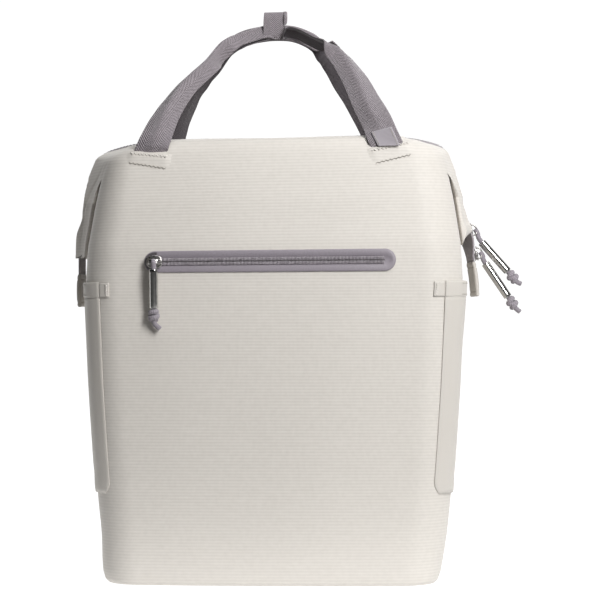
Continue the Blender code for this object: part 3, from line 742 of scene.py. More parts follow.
def braided_cord(settings):
    """Polyester cord, braided round a core: soft mauve grey with small slanted plaits."""
    made, tree, shader, across, along = start_material(
        "polyester_cord_braided", Roughness=0.80, Sheen_Weight=0.3, Sheen_Roughness=0.4, IOR=1.5
    )
    left = stripes(tree, sums(tree, "ADD", across, along), PLAIT_PITCH)
    right = stripes(tree, sums(tree, "SUBTRACT", across, along), PLAIT_PITCH)
    plait = sums(tree, "MULTIPLY", left, right)
    fuzz = mottle(tree, 0.0008, 3.0)
    relief = plus(tree, plait, fuzz, 0.8)
    ground = shade(tree, relief, -0.7, 1.2, "767076", settings.cord)
    finish_material(tree, shader, ground, relief, 0.00022, 0.8)
    return made


def satin_label(name, light, dark):
    """Polyester satin, woven narrow and folded: light, with the faint lines of the loom."""
    made, tree, shader, _, along = start_material(
        name, Roughness=0.5, Sheen_Weight=0.2, Sheen_Roughness=0.3, IOR=1.5
    )
    lines = stripes(tree, along, 0.0011)
    fuzz = mottle(tree, 0.002, 3.0)
    ground = shade(tree, lines, -1.4, 1.0, dark, light)
    relief = sums(tree, "ADD", lines, fuzz)
    finish_material(tree, shader, tint(tree, ground, fuzz, 0.15, "a19c9c"), relief, 0.00007, 0.6)
    return made


def sewing_thread(name, dark, light):
    """Bonded polyester thread, twisted and slightly waxy."""
    made, tree, shader, across, along = start_material(name, Roughness=0.5, IOR=1.5)
    twist = stripes(tree, sums(tree, "ADD", across, along), 0.0008)
    ground = shade(tree, twist, -1.0, 1.0, dark, light)
    finish_material(tree, shader, ground, twist, 0.00008, 0.6)
    return made


def knitted_mesh():
    """Spacer mesh, warp knitted: soft grey padding cloth with small round holes in rows."""
    made, tree, shader, across, along = start_material(
        "polyester_mesh_knitted", Roughness=0.85, Sheen_Weight=0.3, Sheen_Roughness=0.5, IOR=1.5
    )
    rows = plus(tree, along, across, 0.5)
    holes = sums(tree, "MULTIPLY", stripes(tree, across, MESH_PITCH), stripes(tree, rows, MESH_PITCH))
    fuzz = mottle(tree, 0.0015, 3.0)
    relief = plus(tree, holes, fuzz, 0.5)
    ground = shade(tree, relief, -0.5, 0.6, "6f6a66", "a8a39d")
    finish_material(tree, shader, tint(tree, ground, mottle(tree, 0.03), 0.1, "c2bdb6"), relief, 0.0004, 0.8)
    return made


def moulded_acetal():
    """Acetal, injection moulded: dark grey, waxy half gloss with a fine spark texture."""
    made, tree, shader, *_ = start_material("acetal_moulded", Roughness=0.42, IOR=1.48)
    spark = mottle(tree, 0.0008, 2.0)
    ground = shade(tree, spark, 0.3, 0.7, "4f4b4d", "5c585a")
    finish_material(tree, shader, ground, spark, 0.00004, 0.5, ranged(tree, spark, 0.36, 0.5))
    return made


def lit_board():
    """Opal acrylic, cast, with a very faint grain. It is lit from below as a light table is, from just before the
    bag's front on, so it looks white there and still throws little light back up."""
    made, tree, shader, _, along = start_material(
        "opal_acrylic_cast", Roughness=0.75, IOR=1.49, Emission_Color=linear("ffffff")
    )
    stipple = mottle(tree, 0.004, 2.0)
    ground = shade(tree, stipple, 0.2, 0.8, "868685", "8a8a89")
    lit = add(tree, "ShaderNodeMapRange", {"Value": along, "From Min": -0.21, "From Max": -0.18}).outputs[0]
    tree.links.new(sums(tree, "MULTIPLY", lit, BOARD_GLOW), shader.inputs["Emission Strength"])
    ground = tint(tree, ground, sums(tree, "SUBTRACT", 1, lit), 1, "767675")
    finish_material(tree, shader, ground, stipple, 0.00005, 0.3)
    return made


LOOKS = {}


def prepare_looks(settings):
    """Makes each material once."""
    LOOKS["body"] = ribbed_polyester(settings)
    LOOKS["pocket"] = plain_polyester(settings)
    LOOKS["webbing"] = twill_webbing(settings)
    LOOKS["tape"] = woven_tape(settings)
    LOOKS["panel"] = moulded_panel(settings)
    LOOKS["teeth"] = moulded_teeth("nylon_coil_wound", "5d575b", "7c757a")
    LOOKS["pocket_teeth"] = moulded_teeth("nylon_coil_wound_fine", "8b848a", "a8a1a7")
    LOOKS["slider"] = plated_zinc()
    LOOKS["sleeve"] = polished_steel()
    LOOKS["cord"] = braided_cord(settings)
    LOOKS["label"] = satin_label("polyester_satin_light", settings.zip_end, settings.zip_end_shadow)
    LOOKS["tag"] = satin_label("polyester_satin_mauve", settings.label, settings.label_shadow)
    LOOKS["thread"] = sewing_thread("polyester_thread_bonded", "989389", "c4bfb7")
    # Darker thread for the lower rows over the handles' feet, made darker than the thread is to paint the shade
    # between its stitches as well: partly painted shade.
    LOOKS["shaded_foot_thread"] = sewing_thread("polyester_thread_darker_painted_shade", "8d8880", "aaa59d")
    LOOKS["light_thread"] = sewing_thread("polyester_thread_bonded_light", "d2cdc6", "efebe5")
    LOOKS["mesh"] = knitted_mesh()
    LOOKS["plastic"] = moulded_acetal()
    LOOKS["board"] = lit_board()


# Pieces


def mount(obj, slot, *nodes):
    """Lets a piece ride with the bag and puts it in place of its plain solids. Its slot is not used."""
    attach(obj, "root")
    if nodes:
        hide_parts(*nodes)
    return obj


def piece(name, mesh, look, slot, *nodes):
    """Files a finished mesh as a piece of the bag."""
    return mount(close_mesh(name, mesh, LOOKS[look]), slot, *nodes)


def spread(x, z):
    """How much further out than the frame's solids the folded ends and the free tails of the zip stand."""
    more = 0.0 if x < 0 else -0.0022 + 0.0016 * (1 - ramp(z, 0.76 * HEIGHT, 0.80 * HEIGHT))
    return more * ramp(x, 0.10, 0.14) * (1 - ramp(z, 0.985 * HEIGHT, HEIGHT))


def zip_route():
    """The main zip's run in the middle plane, left tail to right tail, on a smooth curve."""
    tip = FOLD[0][0] * HEIGHT
    ridge = [(row[1] * WIDTH / 2, row[0] * HEIGHT) for row in FOLD]
    tail = ridge[0][0]
    left = [(-tail, tip - TAIL_LENGTH), (-tail, tip - TAIL_LENGTH / 2)] + [(-x, z) for x, z in ridge]
    right = [(x, z) for x, z in reversed(ridge)]
    right += [(tail + RIGHT_TAIL / 12, tip - RIGHT_TAIL / 2), (tail + RIGHT_TAIL / 7, tip - RIGHT_TAIL)]
    points = [Vector((x + spread(x, z), 0, z)) for x, z in left + right]
    path = []
    for a, b in zip(points, points[1:]):
        count = max(int((b - a).length / ROUTE_STEP), 1)
        path += [a.lerp(b, i / count) for i in range(count)]
    path.append(points[-1])
    for _ in range(2):
        path = path[:1] + [(a + b * 2 + c) / 4 for a, b, c in zip(path, path[1:], path[2:])] + path[-1:]
    return path


def outward(path, index):
    """The run of a route in the middle plane and its outward direction at a point."""
    run = (path[min(index + 1, len(path) - 1)] - path[max(index - 1, 0)]).normalized()
    return run, Vector((-run.z, 0, run.x))


def tape_side(point, run, out):
    """The way across the tape. The free tails are twisted a little, with their front edges turned outwards."""
    below = FOLD[0][0] * HEIGHT - point.z
    most = 0.05 if point.x < 0 else 0.36 - 0.22 * ramp(below, 0.004, RIGHT_TAIL)
    twist = most * ramp(below, -0.012, 0.010) * (abs(point.x) > 0.15)
    side = Vector((0, 1, 0)) * math.cos(twist) - out * math.sin(twist)
    return side, run.cross(side) * (1 if out.dot(run.cross(side)) > 0 else -1)


def tail_frame():
    """The tip of the right fold, the zip's run down from there and the way it faces."""
    tip_z, tail = FOLD[0][0] * HEIGHT, FOLD[0][1] * WIDTH / 2
    tip = Vector((tail, 0, tip_z))
    below = Vector((tail + TAIL_LENGTH / 12, 0, tip_z - TAIL_LENGTH / 2))
    run = (below - tip).normalized()
    return tip, run, Vector((-run.z, 0, run.x))


def slider_places():
    """Each slider's middle, the way it faces and the way its pull leads."""
    tip, run, out = tail_frame()
    lift = 2 * GAP + TAPE_THICK + TEETH_THICK + GAP + SLIDER_THICK / 2
    places = {}
    for kind, share in (("upper", 0.1), ("lower", 1.6)):
        middle = tip + run * share * SLIDER_LENGTH + out * lift
        places[kind] = (leaned(middle + Vector((spread(middle.x, middle.z), 0, 0))), out, run)
    x = -(PANEL_LENGTH - PANEL_HEIGHT) / 2
    proudest = front_y(abs(x) - SLIDER_LENGTH / 2, PANEL_MIDDLE - SLIDER_WIDTH / 2)
    lift = 2 * GAP + PANEL_THICK + POCKET_TEETH_THICK + GAP + SLIDER_THICK / 2
    middle = leaned(Vector((x, proudest - lift, PANEL_MIDDLE)))
    places["pocket"] = (middle, Vector((0, -1, 0)), Vector((0, 0, -1)))
    return places


def plaited(turn, length):
    """The surface of a braided cord: eight strands each way, over and under."""
    left = math.sin(4 * turn + length * 2 * math.pi / BRAID_PITCH)
    right = math.sin(4 * turn - length * 2 * math.pi / BRAID_PITCH)
    return 1 + 0.035 * left * right


def make_cord_pull(kind):
    """A braided cord from a slider's bridge through a polished sleeve to a stopper knot and a cut end."""
    middle, out, down = slider_places()[kind]
    across = out.cross(down)
    chosen = [middle + out * a + across * b + down * c for a, b, c in PULLS[kind]]
    eye, sleeve_top, sleeve_end, knot_end, tail = chosen
    inside = middle + out * 0.0040 - down * 0.0008
    path = smooth_path([inside, eye, sleeve_top, sleeve_end, knot_end, tail], 0.0005)
    radius = CORD_DIAMETER / 2

    mesh = bmesh.new()
    tube(mesh, path, lambda share: radius * (1 - 0.25 * ramp(share, 0.988, 1)), 24, plaited)
    cord = piece(f"pull_cord_{kind}", mesh, "cord", "pull_cord", f"{kind}_pull_cord")

    mesh = bmesh.new()
    outer, bore = SLEEVE_DIAMETER / 2, SLEEVE_DIAMETER / 2 - SLEEVE_WALL
    length = (sleeve_end - sleeve_top).length
    lip = SLEEVE_WALL / 2
    turns = (0.0, 0.6, 1.2, 1.9, 2.5, math.pi)
    arc = [(lip - lip * math.sin(t), outer - lip + lip * math.cos(t)) for t in turns]
    marks = [(share * length, outer) for share in (0.92, 0.75, 0.5, 0.25, 0.08)]
    profile = [(length - a, r) for a, r in reversed(arc)] + marks + arc
    profile[0] = (profile[0][0], bore)
    profile[-1] = (profile[-1][0], bore)
    turned(mesh, sleeve_top, sleeve_end, profile, 48)
    sleeve = piece(f"pull_sleeve_{kind}", mesh, "sleeve", "sleeve_metal", f"{kind}_pull_sleeve")

    mesh = bmesh.new()
    run = (knot_end - sleeve_end).normalized()
    side = (across - run * across.dot(run)).normalized()
    up = run.cross(side)
    start = sleeve_end + run * (2 * GAP + 0.0006)
    room = KNOT_DIAMETER / 2 - radius
    strand = []
    for i in range(97):
        t = i / 96
        turn = 2 * math.pi * 1.9 * t
        reach = room * (0.72 + 0.28 * math.sin(math.pi * t))
        place = radius * 0.7 + (KNOT_LENGTH - 1.7 * radius) * (0.5 - 0.5 * math.cos(math.pi * t))
        strand.append(start + run * place + (side * math.cos(turn) + up * math.sin(turn)) * reach)
    tube(mesh, strand, radius * 1.02, 18, plaited)
    over = []
    for i in range(49):
        t = i / 48
        turn = 2.4 + 2.6 * t
        reach = room * (0.74 + 0.30 * math.sin(math.pi * t))
        place = radius + (KNOT_LENGTH - 2 * radius) * (0.9 - 0.78 * t)
        over.append(start + run * place + (side * math.cos(turn) + up * math.sin(turn)) * reach)
    tube(mesh, over, radius * 0.98, 18, plaited)
    knot = piece(f"pull_knot_{kind}", mesh, "cord", "pull_cord", f"{kind}_pull_knot")

    route = [tuple(point) for point in path[::6]]
    if (Vector(route[-1]) - path[-1]).length > 1e-6:
        route.append(tuple(path[-1]))
    length = sum((Vector(b) - Vector(a)).length for a, b in zip(route, route[1:]))
    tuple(route[0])


def place_on(lengths, at):
    """The stretch of a line that a length falls in, and its share of that stretch."""
    k = min(max(k for k, length in enumerate(lengths) if length <= at + 1e-9), len(lengths) - 2)
    return k, (at - lengths[k]) / (lengths[k + 1] - lengths[k])


def zigzag(mesh, points, normals, width, pitch, thread):
    """Adds a row of zigzag stitches along points on the cloth."""
    lengths = running(points)
    count = max(int(lengths[-1] / pitch), 1)
    spots = []
    for i in range(count + 1):
        k, share = place_on(lengths, lengths[-1] * i / count)
        point = points[k].lerp(points[k + 1], share)
        normal = normals[k].lerp(normals[k + 1], share).normalized()
        side = normal.cross((points[k + 1] - points[k]).normalized())
        spots.append(point + side * width / 2 * (1 if i % 2 else -1) + normal * thread * 0.35)
    for a, b in zip(spots, spots[1:]):
        tube(mesh, [a, (a + b) / 2, b], thread, 6)


def running_stitch(mesh, points, normals, stitch=0.0028, gap=0.0008, thread=0.0004):
    """Adds a row of straight lockstitches along points on the cloth, each sunk at its ends."""
    lengths = running(points)

    def spot(at):
        k, share = place_on(lengths, at)
        return points[k].lerp(points[k + 1], share), normals[k].lerp(normals[k + 1], share).normalized()

    at = 0.0
    while at + stitch <= lengths[-1]:
        path = []
        for share, rise in ((0, -0.5), (0.18, 0.25), (0.5, 0.45), (0.82, 0.25), (1, -0.5)):
            point, normal = spot(at + stitch * share)
            path.append(point + normal * thread * rise)
        tube(mesh, path, thread, 6)
        at += stitch + gap


def surface_normal(u, z):
    """The way the body's cloth faces at a place."""
    along = skin(u + 0.01, z) - skin(u - 0.01, z)
    up = skin(u, z + 0.001) - skin(u, z - 0.001)
    return along.cross(up).normalized()


def face_normal(x, z):
    """The way the front cloth faces at a place."""
    step = 0.001
    along = Vector((2 * step, front_y(x + step, z) - front_y(x - step, z), 0))
    up = Vector((0, front_y(x, z + step) - front_y(x, z - step), 2 * step))
    return along.cross(up).normalized()


def make_body():
    """The padded body: soft front and back, eased corners, and a roof that swells beside the zip."""
    mesh = bmesh.new()
    half = [i / 44 for i in range(44)] + [1 + i / 12 for i in range(12)]
    half += [2 + i / 16 for i in range(32)] + [4 + i / 12 for i in range(12)]
    half += [5 + i / 24 for i in range(25)]
    rounds = half + [-u for u in half[-2:0:-1]]
    heights = [HEIGHT * 0.010 * i / 4 for i in range(4)]
    heights += [HEIGHT * (0.010 + 0.925 * i / 132) for i in range(132)]
    heights += [HEIGHT * (0.935 + 0.065 * i / 16) for i in range(17)]
    rings = [[skin(u, z) for u in rounds] for z in heights]
    rim = rings[-1]
    reach = ROOF_SLOT / 2
    for step in range(1, 17):
        share = step / 16
        ring = []
        for point in rim:
            middle = Vector((min(max(point.x, -reach), reach), 0, HEIGHT))
            place = point.lerp(middle, share * 0.96)
            swollen = 0.0026 * math.sin(math.pi * min(share * 1.25, 1)) ** 0.8
            ripple = 0.0005 * math.sin(46 * place.x + 30 * place.y) * math.sin(math.pi * share)
            ring.append(Vector((place.x, place.y, HEIGHT + swollen + ripple)))
        rings.append(ring)
    flat = running(rings[len(rings) // 2], joined=True)
    cloth_heights = running([Vector((0, 0, z)) for z in heights])
    lines = len(heights) - 1

    def place(a, b):
        if b <= lines:
            return flat[a], cloth_heights[b]
        point = rings[b][a % len(rounds)]
        return point.x, HEIGHT + math.copysign(half_depth(HEIGHT) - abs(point.y), point.y)

    loft(mesh, rings, place=place)
    return piece("padded_body", mesh, "body", "body_cloth", "shell")


def fold_breadth(z):
    """Half of a folded end's depth, at least that of its round tip."""
    return max(evened(FOLD, 2, z / HEIGHT, 0.01), 0.38 - 3 * (0.81 - z / HEIGHT) ** 2) * DEPTH / 2


def fold_in(y, z):
    """How far out the inner side of a folded end lies."""
    return side_x(y, z) + 3 * GAP * (1 + 3 * ramp(z, 0.96 * HEIGHT, HEIGHT))


def ridge_out(z):
    """How far out the middle of a folded end stands, under the zip."""
    return evened(FOLD, 1, z / HEIGHT, 0.005) * WIDTH / 2


def fold_out(y, z):
    """How far out a folded end stands: hollow under the zip, with a full lip of cloth on each side of it that
    hides the zip from the front, and then down to the body. There the cloth runs on at the top and stands free
    lower down."""
    breadth = fold_breadth(z)
    bed, lip = TAPE_WIDTH / 2 + 0.0006, min(TAPE_WIDTH / 2 + 0.0045, breadth - 0.0034)
    free = 1 - ramp(z, 0.86 * HEIGHT, 0.94 * HEIGHT)
    low = side_x(y, z) + FOLD_EDGE * (2.5 * free - 0.4)
    high = max(ridge_out(z), low)
    crest = max(high + LIP_RISE * (1 - 0.5 * ramp(z, 0.985 * HEIGHT, HEIGHT)), low)
    away = abs(y)
    if away <= bed:
        return high
    if away <= lip:
        return high + (crest - high) * ramp(away, bed, lip)
    fall = min((away - lip) / (breadth - lip), 1)
    eased = fall + 0.10 * math.sin(math.pi * fall)
    return crest + (low - crest) * eased


def make_folded_end(side, hand):
    """An end of the roof, folded down over the side: double cloth, full over the zip and creased to its tip."""
    mesh = bmesh.new()
    steps, rows = 56, 84
    low, inner_cut, outer_cut = FOLD_REACH[side]
    rings = []
    for k in range(rows + 1):
        share = low + (1 - low) * k / rows
        z = HEIGHT * share
        breadth = fold_breadth(z)
        depths = [breadth * (2 * i / steps - 1) for i in range(steps + 1)]
        push = spread(hand * WIDTH / 2, z) + 0.0006 * (1 - ramp(share, 0.79, 0.86))

        def spot(x, y, height):
            """Full out over the zip. The edges follow the settled body."""
            full = 1 - ramp(abs(y), TAPE_WIDTH / 2, breadth)
            aside = leant_aside(WIDTH / 2, height) * (1 - full)
            return Vector((hand * (x + push * full) + aside, y, height))

        # The lower end is cut aslant between the inner and the outer side. The edges roll in.
        cut = 1 - ramp(share, low, low + 0.06)
        inner_z, outer_z = z + inner_cut * cut, z + outer_cut * cut
        free = 1 - ramp(share, 0.87, 0.95)
        edge = []
        for y, face in ((breadth, 1), (-breadth, -1)):
            outer = fold_out(y, z)
            inner = min(fold_in(y, z) + 0.0016 * free, outer - 0.0004)
            middle, size = (inner + outer) / 2, (outer - inner) / 2
            turns = [math.pi * (i + 1) / 8 for i in range(7)]
            edge.append(
                [
                    (
                        middle + size * math.cos(t),
                        y + face * size * 0.9 * math.sin(t),
                        inner_z + (outer_z - inner_z) * (0.5 + 0.5 * math.cos(t)),
                    )
                    for t in turns
                ]
            )
        lift = [0.0016 * free * ramp(abs(y), breadth - 0.010, breadth) for y in depths]
        ring = []
        for y, more in zip(depths, lift):
            ring.append(spot(min(fold_in(y, z) + more, fold_out(y, z) - 0.0004), y, inner_z))
        ring += [spot(*turn) for turn in reversed(edge[0])]
        for y in reversed(depths):
            away = abs(y) / breadth
            crease = 0.0014 * hump(away + 0.55 * (1 - k / rows), 0.90, 0.06) * hump(k / rows, 0.52, 0.42)
            crease += 0.0009 * hump(away - 0.35 * (1 - k / rows), 0.42, 0.05) * hump(k / rows, 0.30, 0.30)
            soft = 0.0007 * math.sin(70 * z + 60 * y * hand) * (1 - away) * away * 4
            ring.append(spot(fold_out(y, z) - crease + soft, y, outer_z))
        ring += [spot(*turn) for turn in edge[1]]
        rings.append(ring)
    around = running(rings[rows // 2], joined=True)
    loft(mesh, rings, place=lambda a, b: (around[a], HEIGHT * (low + (1 - low) * b / rows)))
    return piece(f"folded_end_{side}", mesh, "body", "body_cloth", f"side_fold_{side}")


def make_main_zip():
    """The zip over the roof, down both folded ends and into the free tails: tape, coil and end tabs."""
    path = zip_route()
    mesh = bmesh.new()
    outline = section(TAPE_WIDTH / 2, TAPE_THICK / 2, 0.9, 2, 12)
    rings = []
    for i, point in enumerate(path):
        run, out = outward(path, i)
        side, face = tape_side(point, run, out)
        middle = point + out * (GAP + TAPE_THICK / 2)
        rings.append([middle + side * across + face * rise for across, rise in outline])
    loft(mesh, rings)
    for edge in (-1, 1):
        line, normals = [], []
        for i, point in enumerate(path):
            run, out = outward(path, i)
            side, face = tape_side(point, run, out)
            middle = point + out * (GAP + TAPE_THICK / 2)
            line.append(middle + face * TAPE_THICK / 2 + side * edge * TAPE_WIDTH * 0.36)
            normals.append(face)
        stitched = [leaned(point) for point in line]
        running_stitch(mesh, stitched, normals)
    piece("main_zip_tape_woven", mesh, "tape", "zip_tape", "main_zip_tape")

    mesh = bmesh.new()
    lengths = running(path)
    start, end = TAIL_LENGTH * 0.45, lengths[-1] - TAIL_LENGTH * 0.45
    count = int((end - start) / COIL_PITCH)
    for i in range(count + 1):
        at = start + i * COIL_PITCH
        k = min(max(k for k, length in enumerate(lengths) if length <= at), len(path) - 2)
        point = path[k].lerp(path[k + 1], (at - lengths[k]) / (lengths[k + 1] - lengths[k]))
        run, out = outward(path, k)
        side, face = tape_side(point, run, out)
        hand = 1 if i % 2 else -1
        base = leaned(point + out * (GAP + TAPE_THICK / 2)) + face * (TAPE_THICK / 2 + TEETH_THICK * 0.5)
        block(mesh, base + side * hand * TEETH_WIDTH * 0.19, (side, run, face), TOOTH, 0.0003)
    piece("main_zip_coil", mesh, "teeth", "zip_teeth", "main_zip_teeth")

    for name, hand, end, back in (("left", -1, 0, 1), ("right", 1, -1, -2)):
        run = (path[end] - path[back]).normalized()
        out = Vector((run.z, 0, -run.x)) if hand < 0 else Vector((-run.z, 0, run.x))
        side, face = tape_side(path[end], run, out)
        middle = path[end] + out * (GAP + TAPE_THICK / 2)
        mesh = bmesh.new()
        rings = []
        for i in range(25):
            share = i / 24
            nip = 1 - 0.45 * hump(share, 0, 0.06) - 0.55 * hump(share, 1, 0.05)
            dent = 1 - 0.28 * hump(share, 0.16, 0.05) - 0.28 * hump(share, 0.86, 0.05)
            half = TAPE_WIDTH / 2 * (1 - 0.02 * hump(share, 1, 0.08))
            shape = section(half, END_TAB_THICK / 2 * nip * dent, 0.8, 3, 8)
            bow = out * END_TAB_BOW * math.sin(math.pi * share)
            place = middle + run * END_TAB_LENGTH * share + bow
            rings.append([place + side * across + face * rise for across, rise in shape])
        loft(mesh, rings)
        piece(f"zip_end_tab_{name}", mesh, "label", "light_patch", f"main_zip_end_{name}")
        mesh = bmesh.new()
        for sign in (-1, 1):
            for share in (0.16, 0.86):
                line = [middle + run * END_TAB_LENGTH * share + side * y for y in spaced(-0.0125, 0.0125, 12)]
                rise = face * sign * END_TAB_THICK / 2 * 0.74 + out * END_TAB_BOW * math.sin(math.pi * share)
                line = [leaned(point + rise) for point in line]
                running_stitch(mesh, line, [face * sign] * 13, 0.0022, 0.0007)
        piece(f"zip_end_stitches_{name}", mesh, "thread", "light_patch")


def make_slider(kind):
    """A cast slider: shield-shaped plates over and under the coil, a neck, and a bridge that holds the cord."""
    middle, out, down = slider_places()[kind]
    node = "pocket_slider" if kind == "pocket" else f"main_slider_{kind}"
    if kind == "pocket":
        down = Vector((-1, 0, 0))
    across = out.cross(down)
    mesh = bmesh.new()
    plate = []
    for i in range(28):
        turn = 2 * math.pi * i / 28
        x, y = math.cos(turn), math.sin(turn)
        squared = (abs(x) ** 3.2 + abs(y) ** 3.2) ** (-1 / 3.2)
        taper = 1 - 0.16 * max(y * squared, 0)
        plate.append((x * squared * SLIDER_WIDTH / 2 * taper, y * squared * SLIDER_LENGTH / 2))
    rise = SLIDER_THICK / 2
    for low, high in ((-rise, -rise + 0.0009), (rise - 0.0010, rise)):
        lift = high - low
        rings = []
        for share, size in ((0, 0.93), (0.25, 1), (0.7, 1), (0.92, 0.95), (1, 0.88)):
            level = middle + out * (low + lift * share)
            rings.append([level + across * x * size + down * y * size for x, y in plate])
        loft(mesh, rings, lean=False)
    axes = (across, down, out)
    for hand in (-1, 1):
        wing = middle + across * hand * (SLIDER_WIDTH / 2 - 0.0009)
        block(mesh, wing, axes, (0.0012, SLIDER_LENGTH * 0.62, SLIDER_THICK * 0.92), 0.0004)
    block(mesh, middle + down * SLIDER_LENGTH * 0.30, axes, (0.0026, 0.0034, SLIDER_THICK * 0.95), 0.0006)
    arch = []
    for i in range(21):
        turn = math.pi * i / 20
        reach = SLIDER_LENGTH * 0.36
        height = rise - 0.0004 + 0.0042 * math.sin(turn) ** 0.7
        arch.append(middle + down * -reach * math.cos(turn) + out * height)
    rings = []
    for i, point in enumerate(arch):
        run = (arch[min(i + 1, 20)] - arch[max(i - 1, 0)]).normalized()
        normal = across.cross(run)
        broad = 0.0019 + 0.0006 * abs(math.cos(math.pi * i / 20))
        shape = section(broad, 0.00065, 0.9, 2, 4)
        rings.append([point + across * a + normal * b for a, b in shape])
    loft(mesh, rings, lean=False)
    return piece(f"slider_{kind}", mesh, "slider", "slider_metal", node)


def panel_edge(count):
    """The round-ended outline of the pocket zip's panel, as (x, z) from its middle."""
    radius = PANEL_HEIGHT / 2
    straight = PANEL_LENGTH / 2 - radius
    turns = spaced(-math.pi / 2, math.pi / 2, count)
    right = [(straight + radius * math.cos(t), radius * math.sin(t)) for t in turns]
    left = [(-x, -z) for x, z in right]
    top = [(x, radius) for x in spaced(straight, -straight, 60)[1:-1]]
    bottom = [(x, -radius) for x in spaced(-straight, straight, 60)[1:-1]]
    return right + top + left + bottom


def on_front(x, z, offset):
    """A point off the front cloth, straight out of it, after the soft body has settled and leaned."""
    point = Vector((x + leant_aside(x, z), front_y(x, z), z)) + face_normal(x, z) * offset
    return leaned(point)


def make_pocket_zip():
    """The front pocket's zip: a pressed film panel with round ends, a slit, its coil and a moulded end stop."""
    edge = panel_edge(18)
    mesh = bmesh.new()
    rings = []
    for rise, inset in ((0.0, 0.0), (0.55, 0.0), (0.85, 0.00035), (1.0, 0.0009), (1.0, 0.0022)):
        ring = []
        for x, z in edge:
            core = min(max(x, -PANEL_CORE), PANEL_CORE)
            share = 1 - inset / math.hypot(x - core, z)
            x, z = core + (x - core) * share, PANEL_MIDDLE + z * share
            ring.append(on_front(x, z, GAP + PANEL_THICK * rise))
        rings.append(ring)
    for share, rise in ((0.72, 1.0), (0.62, PANEL_SUNK)):
        ring = []
        for x, z in edge:
            core = min(max(x, -PANEL_CORE), PANEL_CORE)
            level = PANEL_MIDDLE + z * share * 0.62
            ring.append(on_front(core + (x - core) * share, level, GAP + PANEL_THICK * rise))
        rings.append(ring)
    loft(mesh, rings, lean=False, place=lambda a, b: (a * 0.003, b * 0.002))
    piece("pocket_panel_pressed", mesh, "panel", "zip_panel", "pocket_zip_panel")

    mesh = bmesh.new()
    half = (PANEL_LENGTH - PANEL_HEIGHT) / 2
    low = GAP + PANEL_THICK * PANEL_SUNK
    for i in range(int(2 * half / POCKET_COIL_PITCH) + 1):
        x = -half + POCKET_COIL_PITCH * i
        for hand in (-1, 1):
            z = PANEL_MIDDLE + hand * POCKET_TEETH_HEIGHT * 0.27
            normal = face_normal(x, z)
            middle = on_front(x, z, low + POCKET_TEETH_THICK * 0.5)
            along = Vector((1, 0, 0))
            block(mesh, middle, (along, normal.cross(along), normal), POCKET_TOOTH, 0.00028)
    piece("pocket_zip_coil", mesh, "pocket_teeth", "zip_teeth", "pocket_zip_teeth")
    # A thin dark tube in the dark acetal where the two coils meet: painted shade in the gap between them.
    mesh = bmesh.new()
    line = [on_front(x, PANEL_MIDDLE, low + POCKET_TEETH_THICK * 0.9) for x in spaced(-half, half, 60)]
    tube(mesh, line, 0.00036, 8)
    piece("pocket_zip_painted_shade_line", mesh, "plastic", "zip_teeth")

    mesh = bmesh.new()
    centre = -half
    reach, broad, rise = 0.0074, 0.0011, 0.0010
    rings = []
    for turn in spaced(math.pi * 0.42, math.pi * 1.58, 40):
        x, z = centre + reach * math.cos(turn), PANEL_MIDDLE + reach * math.sin(turn)
        normal = face_normal(x, z)
        point = on_front(x, z, GAP + PANEL_THICK)
        arm = Vector(((x - centre) / reach, 0, (z - PANEL_MIDDLE) / reach))
        shape = section(broad, rise / 2, 0.9, 2, 4)
        rings.append([point + arm * a + normal * (b + rise / 2 * 0.6) for a, b in shape])
    loft(mesh, rings, lean=False)
    piece("pocket_end_stop", mesh, "plastic", "zip_panel")


def pocket_cloth(hand, u, z, offset):
    """A point of a side pocket's cloth, which spans the side where the padding gives way behind it."""
    point = skin(hand * u, z, offset)
    if 2 < u <= 4:
        share = (z - POCKET_BOTTOM) / (POCKET_MOUTH - POCKET_BOTTOM)
        fill = 1 - 0.14 * hump(share, 0.5, 0.55)
        point.x += hand * pocket_room(z) * (1 - (u - 3) ** 2) * fill
    return point


def pocket_flare(hand, z):
    """How much further a side pocket's cloth stands out towards its mouth."""
    return (0.0016 if hand > 0 else 0.0001) * ramp(z, POCKET_MOUTH - 0.065, POCKET_MOUTH - BAND_HEIGHT)


